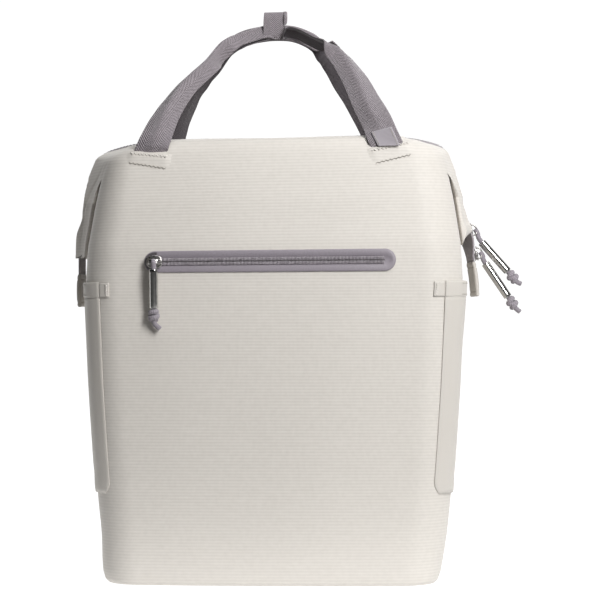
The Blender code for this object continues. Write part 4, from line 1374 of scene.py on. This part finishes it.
def make_side_pocket(side, hand):
    """A side pocket of smooth cloth with a turned mouth band, stitched at its corners and along its edges."""
    front, rear = 2 - POCKET_REACH, 4 + POCKET_REACH
    across = spaced(front, 2, 12) + spaced(2, 4, 40)[1:] + spaced(4, rear, 12)[1:]
    mesh = bmesh.new()
    rings = []
    for z in spaced(POCKET_BOTTOM, POCKET_MOUTH - BAND_HEIGHT, 46):
        low_end = ramp(z, POCKET_BOTTOM, POCKET_BOTTOM + 0.010)
        trim = 0.10 * (1 - math.sqrt(low_end)) if low_end < 1 else 0
        spots = [front + trim + (u - front) * (rear - front - 2 * trim) / (rear - front) for u in across]
        pucker = 0.0004 * math.sin(z * 240) * hump(z, POCKET_BOTTOM, 0.03)
        thick = POCKET_CLOTH + pucker + pocket_flare(hand, z)
        pressed = [0.3 + 0.7 * ramp(min(u - spots[0], spots[-1] - u), 0, 0.30) for u in spots]
        outer = [pocket_cloth(hand, u, z, GAP + thick * share) for u, share in zip(spots, pressed)]
        inner = [pocket_cloth(hand, u, z, GAP * 0.5) for u in reversed(spots)]
        first = pocket_cloth(hand, spots[0] - 0.008, z, GAP * 0.8)
        last = pocket_cloth(hand, spots[-1] + 0.008, z, GAP * 0.8)
        rings.append(outer + [last] + inner + [first])
    loft(mesh, rings)
    piece(f"side_pocket_cloth_{side}", mesh, "pocket", "body_cloth", f"side_pocket_{side}")

    mesh = bmesh.new()
    rings = []
    low = POCKET_MOUTH - BAND_HEIGHT
    full = POCKET_CLOTH + pocket_flare(hand, POCKET_MOUTH) + 0.0005
    for share, inset in ((-0.03, 0.3), (0.0, 0.06), (0.10, 0), (0.5, 0), (0.88, 0), (0.96, 0.1), (1.0, 0.45)):
        z = low + BAND_HEIGHT * share
        pressed = [0.42 + 0.58 * ramp(min(u - across[0], across[-1] - u), 0, 0.30) for u in across]
        reach = full * (1 - inset * 0.6)
        outer = [pocket_cloth(hand, u, z, GAP + reach * part) for u, part in zip(across, pressed)]
        inner = [pocket_cloth(hand, u, z, GAP + full * inset * 0.1) for u in reversed(across)]
        first = pocket_cloth(hand, across[0] - 0.010, z, GAP + full * 0.15)
        last = pocket_cloth(hand, across[-1] + 0.010, z, GAP + full * 0.15)
        rings.append(outer + [last] + inner + [first])
    loft(mesh, rings)
    piece(f"pocket_mouth_band_{side}", mesh, "pocket", "body_cloth", f"pocket_band_{side}")

    mesh = bmesh.new()
    rings = []
    for z in spaced(low - 0.0004, POCKET_MOUTH - 0.0006, 8):
        spots = [front - GAP / CORNER - TAB_REACH * share for share in spaced(0, 1, 6)]
        outer = [skin(hand * u, z, GAP + POCKET_CLOTH * 0.4) for u in spots]
        inner = [skin(hand * u, z, GAP * 0.3) for u in reversed(spots)]
        end = skin(hand * (spots[-1] - 0.015), z, GAP + POCKET_CLOTH * 0.15)
        rings.append(outer + [end] + inner)
    loft(mesh, rings)
    piece(f"pocket_corner_{side}", mesh, "pocket", "light_patch", f"pocket_tab_{side}")

    mesh = bmesh.new()
    for z in (low + 0.0016, low + BAND_HEIGHT * 0.84):
        spots = spaced(front + 0.30, rear - 0.30, 90)
        line = [leaned(pocket_cloth(hand, u, z, GAP + full)) for u in spots]
        running_stitch(mesh, line, [surface_normal(hand * u, z) for u in spots])
    piece(f"pocket_stitches_{side}", mesh, "thread", "body_cloth")
    mesh = bmesh.new()
    spot = hand * (front - TAB_REACH * 0.86)
    rows = spaced(low + 0.0010, POCKET_MOUTH - 0.002, 8)
    line = [leaned(skin(spot, z, GAP + POCKET_CLOTH * 0.4)) for z in rows]
    zigzag(mesh, line, [surface_normal(spot, z) for z in rows], 0.0022, 0.0007, 0.00032)
    piece(f"pocket_tacks_{side}", mesh, "light_thread", "light_patch")


def foot_depth():
    """Depth of a handle's middle where it leaves the body."""
    return -front_y(HANDLE_SPAN / 2 - STRAP_WIDTH / 2, HANDLE_FOOT) + GAP + STRAP_THICK / 2


def foot_bend(x):
    """How far the front cloth at a handle's foot falls back from the foot's inner edge."""
    return front_y(abs(x), HANDLE_FOOT) - front_y(HANDLE_SPAN / 2 - STRAP_WIDTH / 2, HANDLE_FOOT)


def handle_stations(face, count):
    """Stations of a handle on the front (face -1) or the back (1): middle, across, normal, the share of the width
    that shows, turn, place along the span, and how much longer a level cut through it is than a square one."""
    rows = [smooth_run(HANDLE, i / count) for i in range(count + 1)]
    depth = face * foot_depth()
    places = [Vector((r[0] * HANDLE_SPAN / 2, depth * r[2], HANDLE_FOOT + r[1] * HANDLE_RISE)) for r in rows]
    stations = []
    for i, row in enumerate(rows):
        run = (places[min(i + 1, count)] - places[max(i - 1, 0)]).normalized()
        square = Vector((-run.z, 0, run.x)).normalized()
        level = Vector((math.copysign(1, places[i].x), 0, 0))
        up = square.lerp(level, 1 - ramp(places[i].z, HANDLE_FOOT, HANDLE_FOOT + STRAP_WIDTH)).normalized()
        width, turn = row[3], max(row[4], 0)
        if face < 0:
            width, turn = (evened(FRONT_HANDLE, column, row[0], 0.01) for column in (1, 2))
        angle = math.radians(turn) * face
        across = up * math.cos(angle) - Vector((0, face, 0)) * math.sin(angle)
        normal = (across - run * across.dot(run)).cross(run).normalized()
        if normal.y * face < 0:
            normal = -normal
        wide = 1 / max(up.dot(square), 0.7)
        stations.append((places[i], across.normalized(), normal, width, math.radians(turn), row[0], wide))
    return stations


def strap_section(across, normal, half, thick, near, far):
    """A strap's outline where its two halves are bent about the middle by near and far (in radians)."""
    bend, steps, fine = 0.0017, 26, 8
    lengths = spaced(-half, half, steps)
    points, facings = [], []
    for length in lengths:
        place = Vector()
        step = length / fine
        for k in range(fine):
            at = step * (k + 0.5)
            angle = -near + (near - far) * min(max((at + bend) / (2 * bend), 0), 1)
            place += (across * math.cos(angle) + normal * math.sin(angle)) * step
        angle = -near + (near - far) * min(max((length + bend) / (2 * bend), 0), 1)
        points.append((place, across * math.cos(angle) + normal * math.sin(angle)))
        facings.append(normal * math.cos(angle) - across * math.sin(angle))
    ring = [p + f * thick for (p, _), f in zip(points, facings)]
    (last, out), (first, back) = points[-1], points[0]
    ring += [last + out * thick * 0.7 + facings[-1] * thick * side for side in (0.55, -0.55)]
    ring += [p - f * thick for (p, _), f in reversed(list(zip(points, facings)))]
    ring += [first - back * thick * 0.7 - facings[0] * thick * side for side in (0.55, -0.55)]
    return ring


def make_handle(name, face):
    """A webbing handle: flat at its feet, folded in half lengthwise over the top. The front one's near half lifts
    like a brim on the right of the loop, so its inside shows there, in the brim's shade and painted darker as well.
    The rear one leans in beside it."""
    stations = handle_stations(face, 320)
    mesh = bmesh.new()
    rings = []
    for middle, across, normal, width, turn, at, wide in stations:
        if face > 0:
            width = width + (1 - width) * (0.5 * ramp(at, 0.36, 0.43) + 0.5 * ramp(at, 0.56, 0.70))
        share = min(max((1 - width) / 0.52, 0), 1)
        near, cup = 0.0, 1.0
        if face < 0:
            shut = ramp(at, -0.45, -0.25) * (1 - ramp(at, 0.40, 0.56))
            level = math.cos(turn)
            far = turn + math.acos(min(max(2 * width - level, -1), 1)) + math.radians(82) * shut
            brim = ramp(at, 0.07, 0.13) * (1 - ramp(at, 0.46, 0.54))
            cup = 1 - 0.24 * brim
            near = math.radians(132) * brim - math.radians(38) * hump(at, -0.455, 0.075)
            lean = math.radians(40 * brim - 28 * ramp(at, -0.42, -0.28) * (1 - ramp(at, -0.05, 0.03)))
            across, normal = (
                across * math.cos(lean) + normal * math.sin(lean),
                normal * math.cos(lean) - across * math.sin(lean),
            )
            drop = 0.0022 * hump(at, 0.40, 0.24) + 0.0008 * ramp(at, 0.04, 0.12) * (1 - ramp(at, 0.4, 0.6))
            drop += 0.0012 * hump(at, -0.25, 0.2)
            middle = middle - normal * 0.001 * brim - Vector((0, 0, drop))
        else:
            far = math.radians(172) * share ** 1.4
            inward = 0.0036 * ramp(at, -0.99, -0.9) * (1 - ramp(at, -0.55, -0.42))
            inward += 0.0034 * hump(at, -0.62, 0.15)
            inward += 0.0060 * hump(at, -0.47, 0.15)
            tuck, lowered = hump(at, 0.62, 0.22), 0.0032 * hump(at, 0.47, 0.16)
            drop = 0.0015 * tuck + lowered - 0.0010 * hump(at, -0.3, 0.22)
            middle = middle - Vector((inward + 0.0036 * tuck, 0, drop))
        half = STRAP_WIDTH / 2 * wide * cup
        place = middle + across * half * (1 - max(min(width, 1), 0.5)) + normal * 0.0010 * share
        ring = [place + p for p in strap_section(across, normal, half, STRAP_THICK / 2, near, far)]
        close = 1 - ramp(middle.z, HANDLE_FOOT + 0.002, HANDLE_FOOT + 0.013)
        sunk = 0.0016 * (1 - ramp(middle.z, HANDLE_FOOT - 0.001, HANDLE_FOOT + 0.005))
        rings.append([point - Vector((0, face * (close * foot_bend(point.x) + sunk), 0)) for point in ring])
    for ring, hand in ((rings[0], -1), (rings[-1], 1)):
        lowered = [point + Vector((0, -face * 0.0012, -0.003)) for point in ring]
        rings.insert(0, lowered) if hand < 0 else rings.append(lowered)
    around, along = running(rings[len(rings) // 2], joined=True), running([ring[0] for ring in rings])
    outside = len(rings[0]) // 2 - 1
    inner = range(outside + 1, len(around) - 2)
    # The inner faces are moved on in the map, so the webbing paints them darker: painted shade.
    loft(mesh, rings, place=lambda a, b: (around[a] + (PAINTED_SHADE_INSIDE if a in inner else 0), along[b]))
    node = "handle_front" if face < 0 else "handle_rear"
    return piece(name, mesh, "webbing", "webbing", node)


def make_wrap():
    """The webbing loop that holds both handles together, with its end curled over at the top right."""
    thick = 2 * STRAP_THICK
    folded = STRAP_WIDTH * 0.49 / 2
    floor = HANDLE_FOOT + HANDLE_RISE * 0.993 - folded - 4 * GAP - WRAP_THICK + 0.0040
    half = foot_depth() * 0.040 + thick / 2 + 3 * GAP + WRAP_THICK
    rows = list(WRAP) + [WRAP[0]]
    shares = [smooth_run(rows, i / 96) for i in range(96)]
    outline = [Vector((0, d * half, floor + h * WRAP_HEIGHT)) for d, h in shares]
    mesh = bmesh.new()
    rings = []
    for i, point in enumerate(outline):
        run = (outline[(i + 1) % 96] - outline[i - 1]).normalized()
        out = run.cross(Vector((1, 0, 0))).normalized()
        if out.z * (point.z - floor - WRAP_HEIGHT / 2) + out.y * point.y < 0:
            out = -out
        shape = section(WRAP_WIDTH / 2, WRAP_THICK / 2, 0.9, 3, 10)
        wave = 0.0003 * math.sin(i / 96 * 14)
        middle = point - out * WRAP_THICK / 2 + Vector((wave, 0, 0))
        rings.append([middle + Vector((a, 0, 0)) + out * b for a, b in shape])
    loft(mesh, rings, joined=True)
    curl = []
    for share in spaced(0, 1, 22):
        z = floor + WRAP_HEIGHT * (0.50 + 0.49 * share)
        y = -half * (1.0 - 0.62 * ramp(share, 0.45, 1.0))
        curl.append(Vector((WRAP_WIDTH / 2 + 0.0008 + 0.0004 * math.sin(3 * share), y - 0.0002, z)))
    rings = []
    for i, point in enumerate(curl):
        run = (curl[min(i + 1, 22)] - curl[max(i - 1, 0)]).normalized()
        side, up = Vector((1, 0, 0)), run.cross(Vector((1, 0, 0)))
        size = 1 - 0.3 * hump(i / 22, 0, 0.2)
        ring = []
        for reach, back in ((0.00185, False), (0.00095, True)):
            turns = spaced(-2.7, 2.4, 16)
            for turn in reversed(turns) if back else turns:
                ring.append(point + (side * math.cos(turn) + up * math.sin(turn)) * reach * size)
        rings.append(ring)
    round_it, along = running(rings[11], joined=True), running(curl)
    # The curl's inner face is moved on in the map, so the webbing paints it darker: painted shade.
    loft(mesh, rings, place=lambda a, b: (round_it[a] + (PAINTED_SHADE_INSIDE if a > 17 else 0), along[b]))
    return piece("handle_loop", mesh, "webbing", "webbing", "handle_wrap")


def make_tag():
    """A bare satin label, folded over the front of the right leg and sewn down along its edges."""
    stations = handle_stations(-1, 260)
    mesh = bmesh.new()
    rings, lines, normals = [], [[], []], []
    for middle, across, normal, *_ in stations[:-1]:
        share = (middle.z - HANDLE_FOOT - TAG_RAISE + 0.0042) / TAG_LENGTH
        middle = middle + across * 0.0016
        if middle.x < 0 or not 0 < share < 1:
            continue
        edge = 1 - 0.5 * hump(share, 0, 0.08) - 0.5 * hump(share, 1, 0.08)
        near = normal * (STRAP_THICK / 2 + GAP + TAG_THICK / 2)
        outline = section(TAG_WIDTH / 2, TAG_THICK / 2 * edge, 0.9, 2, 8)
        rings.append([middle + near + across * a + normal * b for a, b in outline])
        if 0.06 < share < 0.94:
            for k, hand in enumerate((-1, 1)):
                edge_line = middle + across * hand * (TAG_WIDTH / 2 - 0.0016)
                lines[k].append(leaned(edge_line + near + normal * TAG_THICK / 2))
            normals.append(normal)
    loft(mesh, rings)
    piece("handle_label_bare", mesh, "tag", "light_patch", "handle_tag")
    mesh = bmesh.new()
    for line in lines:
        running_stitch(mesh, line, normals, 0.0020, 0.0007, 0.0003)
    piece("handle_label_stitches", mesh, "thread", "light_patch")


def make_anchor(end, face, side, hand):
    """The body cloth that closes over a handle's foot: a crisp edge across the webbing, pressed flat elsewhere,
    and two rows of zigzag stitches."""
    upper, lower = FOOT_ROWS[hand]

    def spot(a, b, offset):
        """a runs across from the inner end, b up from below the lower row to above the upper one."""
        rise = (b - 0.22) / 0.62
        ends = [Vector(low).lerp(Vector(high), rise) for low, high in zip(lower, upper)]
        x, z = ends[0].lerp(ends[1], -0.06 + 1.12 * a)
        point, normal = on_front(x, z, offset), face_normal(x, z)
        return Vector((point.x, -face * point.y, point.z)), Vector((normal.x, -face * normal.y, normal.z))

    mesh = bmesh.new()
    rings, spots = [], []
    steps, rows = 44, 22
    full = 0.0014
    for i in range(steps + 1):
        a = -0.16 + 1.32 * i / steps
        ring_out, ring_in, line = [], [], []
        for j in range(rows + 1):
            b = j / rows
            ease = ramp(min(a, 1 - a), -0.16, 0.14) * ramp(b, 0, 0.36)
            lift = full * ease * (0.45 + 0.55 * ramp(b, 0.30, 0.80))
            press = 1 - 0.30 * hump(b, 0.22, 0.09) - 0.16 * hump(b, 0.84, 0.07)
            point = spot(a, b, lift * press - 0.0003)[0]
            ring_out.append(point)
            ring_in.append(spot(a, b, -0.0014)[0])
            line.append((point.x, point.z))
        rings.append(ring_out + ring_in[::-1])
        spots.append(line + line[::-1])
    loft(mesh, rings, lean=False, place=lambda a, b: spots[b][a % (2 * rows + 2)])
    piece(f"foot_patch_{end}_{side}", mesh, "body", "light_patch", f"anchor_patch_{end}_{side}")
    for level, lift, kind, wide, pitch, thick in (
        (0.86, 0.92, "light_thread", 0.0022, 0.0016, 0.00040),
        # The lower row: darker thread that also paints the shade between the stitches.
        (0.22, 0.34, "shaded_foot_thread", 0.0013, 0.0018, 0.00030),
    ):
        mesh = bmesh.new()
        pairs = [spot(a, level, full * lift) for a in spaced(0.04, 0.96, 20)]
        zigzag(mesh, [p for p, _ in pairs], [n for _, n in pairs], wide, pitch, thick)
        piece(f"{kind}_{end}_{side}", mesh, kind, "light_patch")


def beside(run):
    """The way across a strap that runs so, and the way it faces."""
    across = (Vector((1, 0, 0)) - run * run.x).normalized()
    return across, across.cross(run)


def strap_stations(rows, hand, thick, count):
    """Middles and half widths of a strap down the back, stood off the cloth by its own thickness."""
    stations = []
    for i in range(count + 1):
        height, stand, spread, width = smooth_run(rows, i / count)
        x, z, half = spread * PAD_SPREAD, height * HEIGHT, PAD_WIDTH / 2 * width
        back = max(back_y(x - half, z), back_y(x + half, z), back_y(x, z))
        y = back + 2 * GAP + thick / 2 + max(stand, 0) * PAD_STAND
        stations.append((Vector((hand * x, y, z)), half))
    return stations


def make_shoulder_strap(side, hand):
    """A padded shoulder strap with bound edges and a webbing rib, its adjuster and the lower webbing."""
    stations = strap_stations(PAD, hand, PAD_THICK, 90)
    mesh = bmesh.new()
    rings, edges, rib = [], [[], []], []
    for i, (middle, half) in enumerate(stations):
        before, after = stations[max(i - 1, 0)][0], stations[min(i + 1, 90)][0]
        run = (after - before).normalized()
        across, normal = beside(run)
        normal = normal if normal.y > 0 else -normal
        end = 1 - 0.55 * hump(i / 90, 0, 0.05) - 0.55 * hump(i / 90, 1, 0.05)
        ring = []
        for turn in spaced(0, 2 * math.pi, 48)[:-1]:
            x, y = math.cos(turn), math.sin(turn)
            crown = 0.86 + 0.14 * math.cos(math.pi * x * 0.9) - 0.10 * hump(abs(x), 0.30, 0.10)
            crown = abs(y) ** 0.62 * crown
            wide = math.copysign(abs(x) ** 0.72, x) * (half - 0.0016)
            puff = 1 + 0.05 * math.sin(i * 0.55 + 2 * x)
            thick = math.copysign(crown, y) * (PAD_THICK / 2 - 0.0006) * end * puff
            ring.append(middle + across * wide + normal * thick)
        rings.append(ring)
        for k, sign in enumerate((-1, 1)):
            edges[k].append(middle + across * sign * (half - 0.0016))
        rib.append((middle + normal * PAD_THICK / 2 * 0.86 * end, across, normal))
    loft(mesh, rings)
    pad = piece(f"shoulder_pad_{side}", mesh, "mesh", "pad_cloth", f"shoulder_strap_{side}")

    mesh = bmesh.new()
    for line in edges:
        tube(mesh, [leaned(point) for point in line], 0.0016, 10)
    piece(f"shoulder_binding_{side}", mesh, "pocket", "pad_cloth")

    mesh = bmesh.new()
    shape = section(0.0105, 0.0007, 0.9, 2, 6)
    loft(mesh, [[p + a * x + n * (y + 0.0004) for x, y in shape] for p, a, n in rib[4:]])
    piece(f"shoulder_rib_{side}", mesh, "webbing", "webbing")

    web = strap_stations(LOWER_WEB, hand, STRAP_THICK, 60)
    mesh = bmesh.new()
    rings = []
    for i, (middle, half) in enumerate(web):
        run = (web[min(i + 1, 60)][0] - web[max(i - 1, 0)][0]).normalized()
        across, normal = beside(run)
        shape = section(half, STRAP_THICK / 2, 0.9, 2, 8)
        rings.append([middle + across * a + normal * b for a, b in shape])
    loft(mesh, rings)
    piece(f"lower_strap_{side}", mesh, "webbing", "webbing", f"lower_webbing_{side}")

    start, end = stations[-1][0], web[0][0]
    run = (end - start).normalized()
    across, normal = beside(run)
    length = (end - start).length - 6 * GAP
    middle = leaned((start + end) / 2)
    half = PAD_WIDTH / 2 * LOWER_WEB[0][3] + STRAP_THICK
    axes = (across, run, normal)
    mesh = bmesh.new()
    for sign in (-1, 1):
        block(mesh, middle + across * sign * (half - 0.0016), axes, (0.0032, length, ADJUSTER_THICK), 0.0008)
    bars = ((-0.46, 0.8, 0.0034), (-0.12, 0.9, 0.0036), (0.2, 0.8, 0.0032), (0.44, 1.0, 0.0042))
    for share, thick, wide in bars:
        bar = middle + run * length * share
        block(mesh, bar, axes, (2 * half - 0.002, wide, ADJUSTER_THICK * thick), 0.0007)
    piece(f"adjuster_{side}", mesh, "plastic", "buckle_plastic", f"strap_adjuster_{side}")


def make_back_seams():
    """Two level rows of lockstitches across the back: low down, and along the straps' yoke."""
    mesh = bmesh.new()
    for level in (0.06, 0.90):
        z = HEIGHT * level
        places = [share * (half_width(z) - corner(z)) / 0.72 for share in spaced(-0.70, 0.70, 80)]
        line = [leaned(Vector((x, back_y(x, z) + 0.0001, z))) for x in places]
        running_stitch(mesh, line, [Vector((0, 1, 0))] * len(line))
    piece("back_stitches", mesh, "thread", "body_cloth")


def make_strap_ends():
    """Bar tacks that hold the shoulder straps and the lower webbing to the back."""
    mesh = bmesh.new()
    for hand in (-1, 1):
        top = strap_stations(PAD, hand, PAD_THICK, 90)[1]
        low = strap_stations(LOWER_WEB, hand, STRAP_THICK, 60)[-2]
        for (middle, half), rise, thick in ((top, 0.004, PAD_THICK * 0.30), (low, 0.003, STRAP_THICK / 2)):
            for shift in (-rise, rise):
                y = middle.y + thick
                spots = spaced(-half * 0.8, half * 0.8, 10)
                line = [leaned(Vector((middle.x + x, y, middle.z + shift))) for x in spots]
                zigzag(mesh, line, [Vector((0, 1, 0))] * 11, 0.0016, 0.0008, 0.0003)
    piece("strap_tacks", mesh, "thread", "webbing")


# Room, camera and light


def aim(obj, target):
    obj.rotation_euler = (Vector(target) - obj.location).to_track_quat("-Z", "Y").to_euler()


def make_stage(settings):
    """A board that sweeps up far behind, soft lamps in front, above and behind, a dim room, and the camera."""
    scene = bpy.context.scene
    scene.view_settings.view_transform = "Standard"
    camera_data = bpy.data.cameras.new("camera")
    camera_data.lens = settings.lens
    camera_data.sensor_width = 36
    camera_data.clip_start = 0.05
    camera = bpy.data.objects.new("camera", camera_data)
    scene.collection.objects.link(camera)
    turn = settings.camera_turn
    camera.location = (VIEW_X + VIEW_AWAY * math.sin(turn), -VIEW_AWAY * math.cos(turn), VIEW_Z)
    aim(camera, (VIEW_X, 0, VIEW_Z))
    scene.camera = camera

    world = bpy.data.worlds.new("room")
    scene.world = world
    world.use_nodes = True
    tree = world.node_tree
    light = tree.nodes["Background"]
    light.inputs["Strength"].default_value = settings.room_light
    way = add(tree, "ShaderNodeTexCoord").outputs["Generated"]
    colour = linear("ffffff")
    for card, start, end in (((0.0, -1.0, 0.0), 0.80, 0.93), ((-0.94, -0.34, 0.0), 0.25, 0.75)):
        toward = add(tree, "ShaderNodeVectorMath", {0: way, 1: card}, operation="DOT_PRODUCT").outputs["Value"]
        share = add(tree, "ShaderNodeMapRange", {"Value": toward, "From Min": start, "From Max": end})
        inputs = {0: share.outputs[0], 6: colour, 7: linear("3c3a3a")}
        colour = add(tree, "ShaderNodeMix", inputs, data_type="RGBA").outputs[2]
    tree.links.new(colour, light.inputs["Color"])

    mesh = bmesh.new()
    layer = mesh.loops.layers.uv.new("cloth")
    profile = [(-BOARD_EDGE, 0.0), (BOARD_BEND, 0.0)]
    for turn in spaced(0, math.pi / 2, 16)[1:]:
        rise = BOARD_RADIUS - BOARD_RADIUS * math.cos(turn)
        profile.append((BOARD_BEND + BOARD_RADIUS * math.sin(turn), rise))
    profile.append((BOARD_BEND + BOARD_RADIUS, BOARD_EDGE))
    rows = [[mesh.verts.new((x, y, z - 0.0002)) for x in (-BOARD_EDGE, BOARD_EDGE)] for y, z in profile]
    for low, high in zip(rows, rows[1:]):
        face = mesh.faces.new((low[0], low[1], high[1], high[0]))
        for corner_loop in face.loops:
            corner_loop[layer].uv = corner_loop.vert.co.xy
    board = close_mesh("floor_sweep", mesh, LOOKS["board"])

    for name, place, size, power in (
        ("key_lamp", (0.66, -1.15, 0.86), (0.36, 0.8), settings.key_light),
        ("fill_lamp", (-1.9, -1.7, 0.9), (1.4, 1.4), settings.fill_light),
        ("top_lamp", (0.3, -0.2, 1.8), (1.6, 1.2), settings.top_light),
        ("back_lamp", (0.4, 2.0, 1.6), (1.6, 1.2), settings.back_light),
    ):
        data = bpy.data.lights.new(name, "AREA")
        data.shape = "RECTANGLE"
        data.size, data.size_y = size
        data.energy = power
        lamp = bpy.data.objects.new(name, data)
        scene.collection.objects.link(lamp)
        lamp.location = place
        aim(lamp, (0, 0, 0.24))


# Controls


def tone(name, note, code):
    return bpy.props.StringProperty(name=name, description=note, default=code)


def power(name, note, watts):
    return bpy.props.FloatProperty(name=name, description=note, default=watts, min=0, unit="POWER")


class CoolerBackpackFinish(bpy.types.PropertyGroup):
    """Colours of the cloths, webbing and trims, as sRGB hex."""

    cloth: tone("Body cloth", "Lit side of the ribbed cloth", "d3cec7")
    cloth_shadow: tone("Body ribs", "Between the ribs", "c6c1ba")
    pocket: tone("Pocket cloth", "Side pockets", "cdc8c1")
    pocket_shadow: tone("Pocket weave", "Between its yarns", "c3beb7")
    webbing: tone("Webbing", "Raised yarns of the webbing", "aea6ab")
    webbing_shadow: tone("Webbing gaps", "Between its yarns", "4c454a")
    tape: tone("Zip tape", "Woven tape of the main zip", "b2acb0")
    panel: tone("Pocket zip panel", "Pressed film", "8f8890")
    cord: tone("Pull cord", "Braided cord and knots", "a59ea6")
    label: tone("Label", "Bare satin label", "b0aab0")
    label_shadow: tone("Label lines", "Between its yarns", "9a949b")
    zip_end: tone("Zip ends", "Satin tabs of the zip", "cac5be")
    zip_end_shadow: tone("Zip end lines", "Between their yarns", "b3aea7")


class CoolerBackpackRoom(bpy.types.PropertyGroup):
    """Camera and lamps."""

    lens: bpy.props.FloatProperty(name="Lens", description="Focal length in mm", default=133.4, min=20, max=300)
    camera_turn: bpy.props.FloatProperty(
        name="Camera turn", description="How far round to the right", default=math.radians(1.75), subtype="ANGLE"
    )
    room_light: bpy.props.FloatProperty(name="Room light", description="Even white light", default=0.09, min=0)
    key_light: power("Key light", "From front right", 20.5)
    fill_light: power("Fill light", "From the left", 0.3)
    top_light: power("Top light", "From above", 12)
    back_light: power("Back light", "From behind", 8)


class BackpackStage(bpy.types.Operator):
    """Sets up the board, the lamps and the camera, and mixes the materials"""

    bl_idname = "backpack.stage"
    bl_label = "Room and camera"

    def execute(self, context):
        prepare_looks(context.scene.cooler_backpack_finish)
        make_stage(context.scene.cooler_backpack_room)
        return {"FINISHED"}


class BackpackPulls(bpy.types.Operator):
    """Makes the three corded pulls with their sleeves and knots"""

    bl_idname = "backpack.pulls"
    bl_label = "Zip pulls"

    def execute(self, context):
        for kind in PULLS:
            make_cord_pull(kind)
        return {"FINISHED"}


class BackpackBody(bpy.types.Operator):
    """Makes the padded body and its folded ends"""

    bl_idname = "backpack.body"
    bl_label = "Body"

    def execute(self, context):
        make_body()
        for side, hand in SIDES:
            make_folded_end(side, hand)
        make_back_seams()
        return {"FINISHED"}


class BackpackMainZip(bpy.types.Operator):
    """Makes the main zip with its tape, coil, sliders and end tabs"""

    bl_idname = "backpack.main_zip"
    bl_label = "Main zip"

    def execute(self, context):
        make_main_zip()
        for kind in ("upper", "lower"):
            make_slider(kind)
        return {"FINISHED"}


class BackpackPocketZip(bpy.types.Operator):
    """Makes the front pocket's zip with its panel, coil and slider"""

    bl_idname = "backpack.pocket_zip"
    bl_label = "Pocket zip"

    def execute(self, context):
        make_pocket_zip()
        make_slider("pocket")
        return {"FINISHED"}


class BackpackSidePockets(bpy.types.Operator):
    """Makes both side pockets with their mouth bands and corners"""

    bl_idname = "backpack.side_pockets"
    bl_label = "Side pockets"

    def execute(self, context):
        for side, hand in SIDES:
            make_side_pocket(side, hand)
        return {"FINISHED"}


class BackpackHandles(bpy.types.Operator):
    """Makes the handles, the loop that joins them, the bare label and the foot patches"""

    bl_idname = "backpack.handles"
    bl_label = "Handles"

    def execute(self, context):
        make_handle("webbing_handle_front", -1)
        make_handle("webbing_handle_rear", 1)
        make_wrap()
        make_tag()
        for end, face in (("front", -1), ("rear", 1)):
            for side, hand in SIDES:
                make_anchor(end, face, side, hand)
        return {"FINISHED"}


class BackpackShoulderStraps(bpy.types.Operator):
    """Makes the padded shoulder straps with their adjusters and lower webbing"""

    bl_idname = "backpack.shoulder_straps"
    bl_label = "Shoulder straps"

    def execute(self, context):
        for side, hand in SIDES:
            make_shoulder_strap(side, hand)
        make_strap_ends()
        return {"FINISHED"}


STEPS = (
    BackpackStage,
    BackpackPulls,
    BackpackBody,
    BackpackMainZip,
    BackpackPocketZip,
    BackpackSidePockets,
    BackpackHandles,
    BackpackShoulderStraps,
)


class BackpackPanel(bpy.types.Panel):
    """Lists the finishes and the pieces"""

    bl_label = "Cooler backpack"
    bl_idname = "VIEW3D_PT_cooler_backpack"
    bl_space_type = "VIEW_3D"
    bl_region_type = "UI"
    bl_category = "Backpack"

    def draw(self, context):
        layout = self.layout
        for group in (context.scene.cooler_backpack_finish, context.scene.cooler_backpack_room):
            box = layout.box()
            for key in group.__annotations__:
                box.prop(group, key)
        for step in STEPS:
            layout.operator(step.bl_idname)


CLASSES = (CoolerBackpackFinish, CoolerBackpackRoom, *STEPS, BackpackPanel)


def register():
    for kind in CLASSES:
        bpy.utils.register_class(kind)
    bpy.types.Scene.cooler_backpack_finish = bpy.props.PointerProperty(type=CoolerBackpackFinish)
    bpy.types.Scene.cooler_backpack_room = bpy.props.PointerProperty(type=CoolerBackpackRoom)


def unregister():
    del bpy.types.Scene.cooler_backpack_room
    del bpy.types.Scene.cooler_backpack_finish
    for kind in reversed(CLASSES):
        bpy.utils.unregister_class(kind)


def main():
    register()
    for step in STEPS:
        group, name = step.bl_idname.split(".")
        getattr(getattr(bpy.ops, group), name)()


if __name__ == "__main__":
    main()
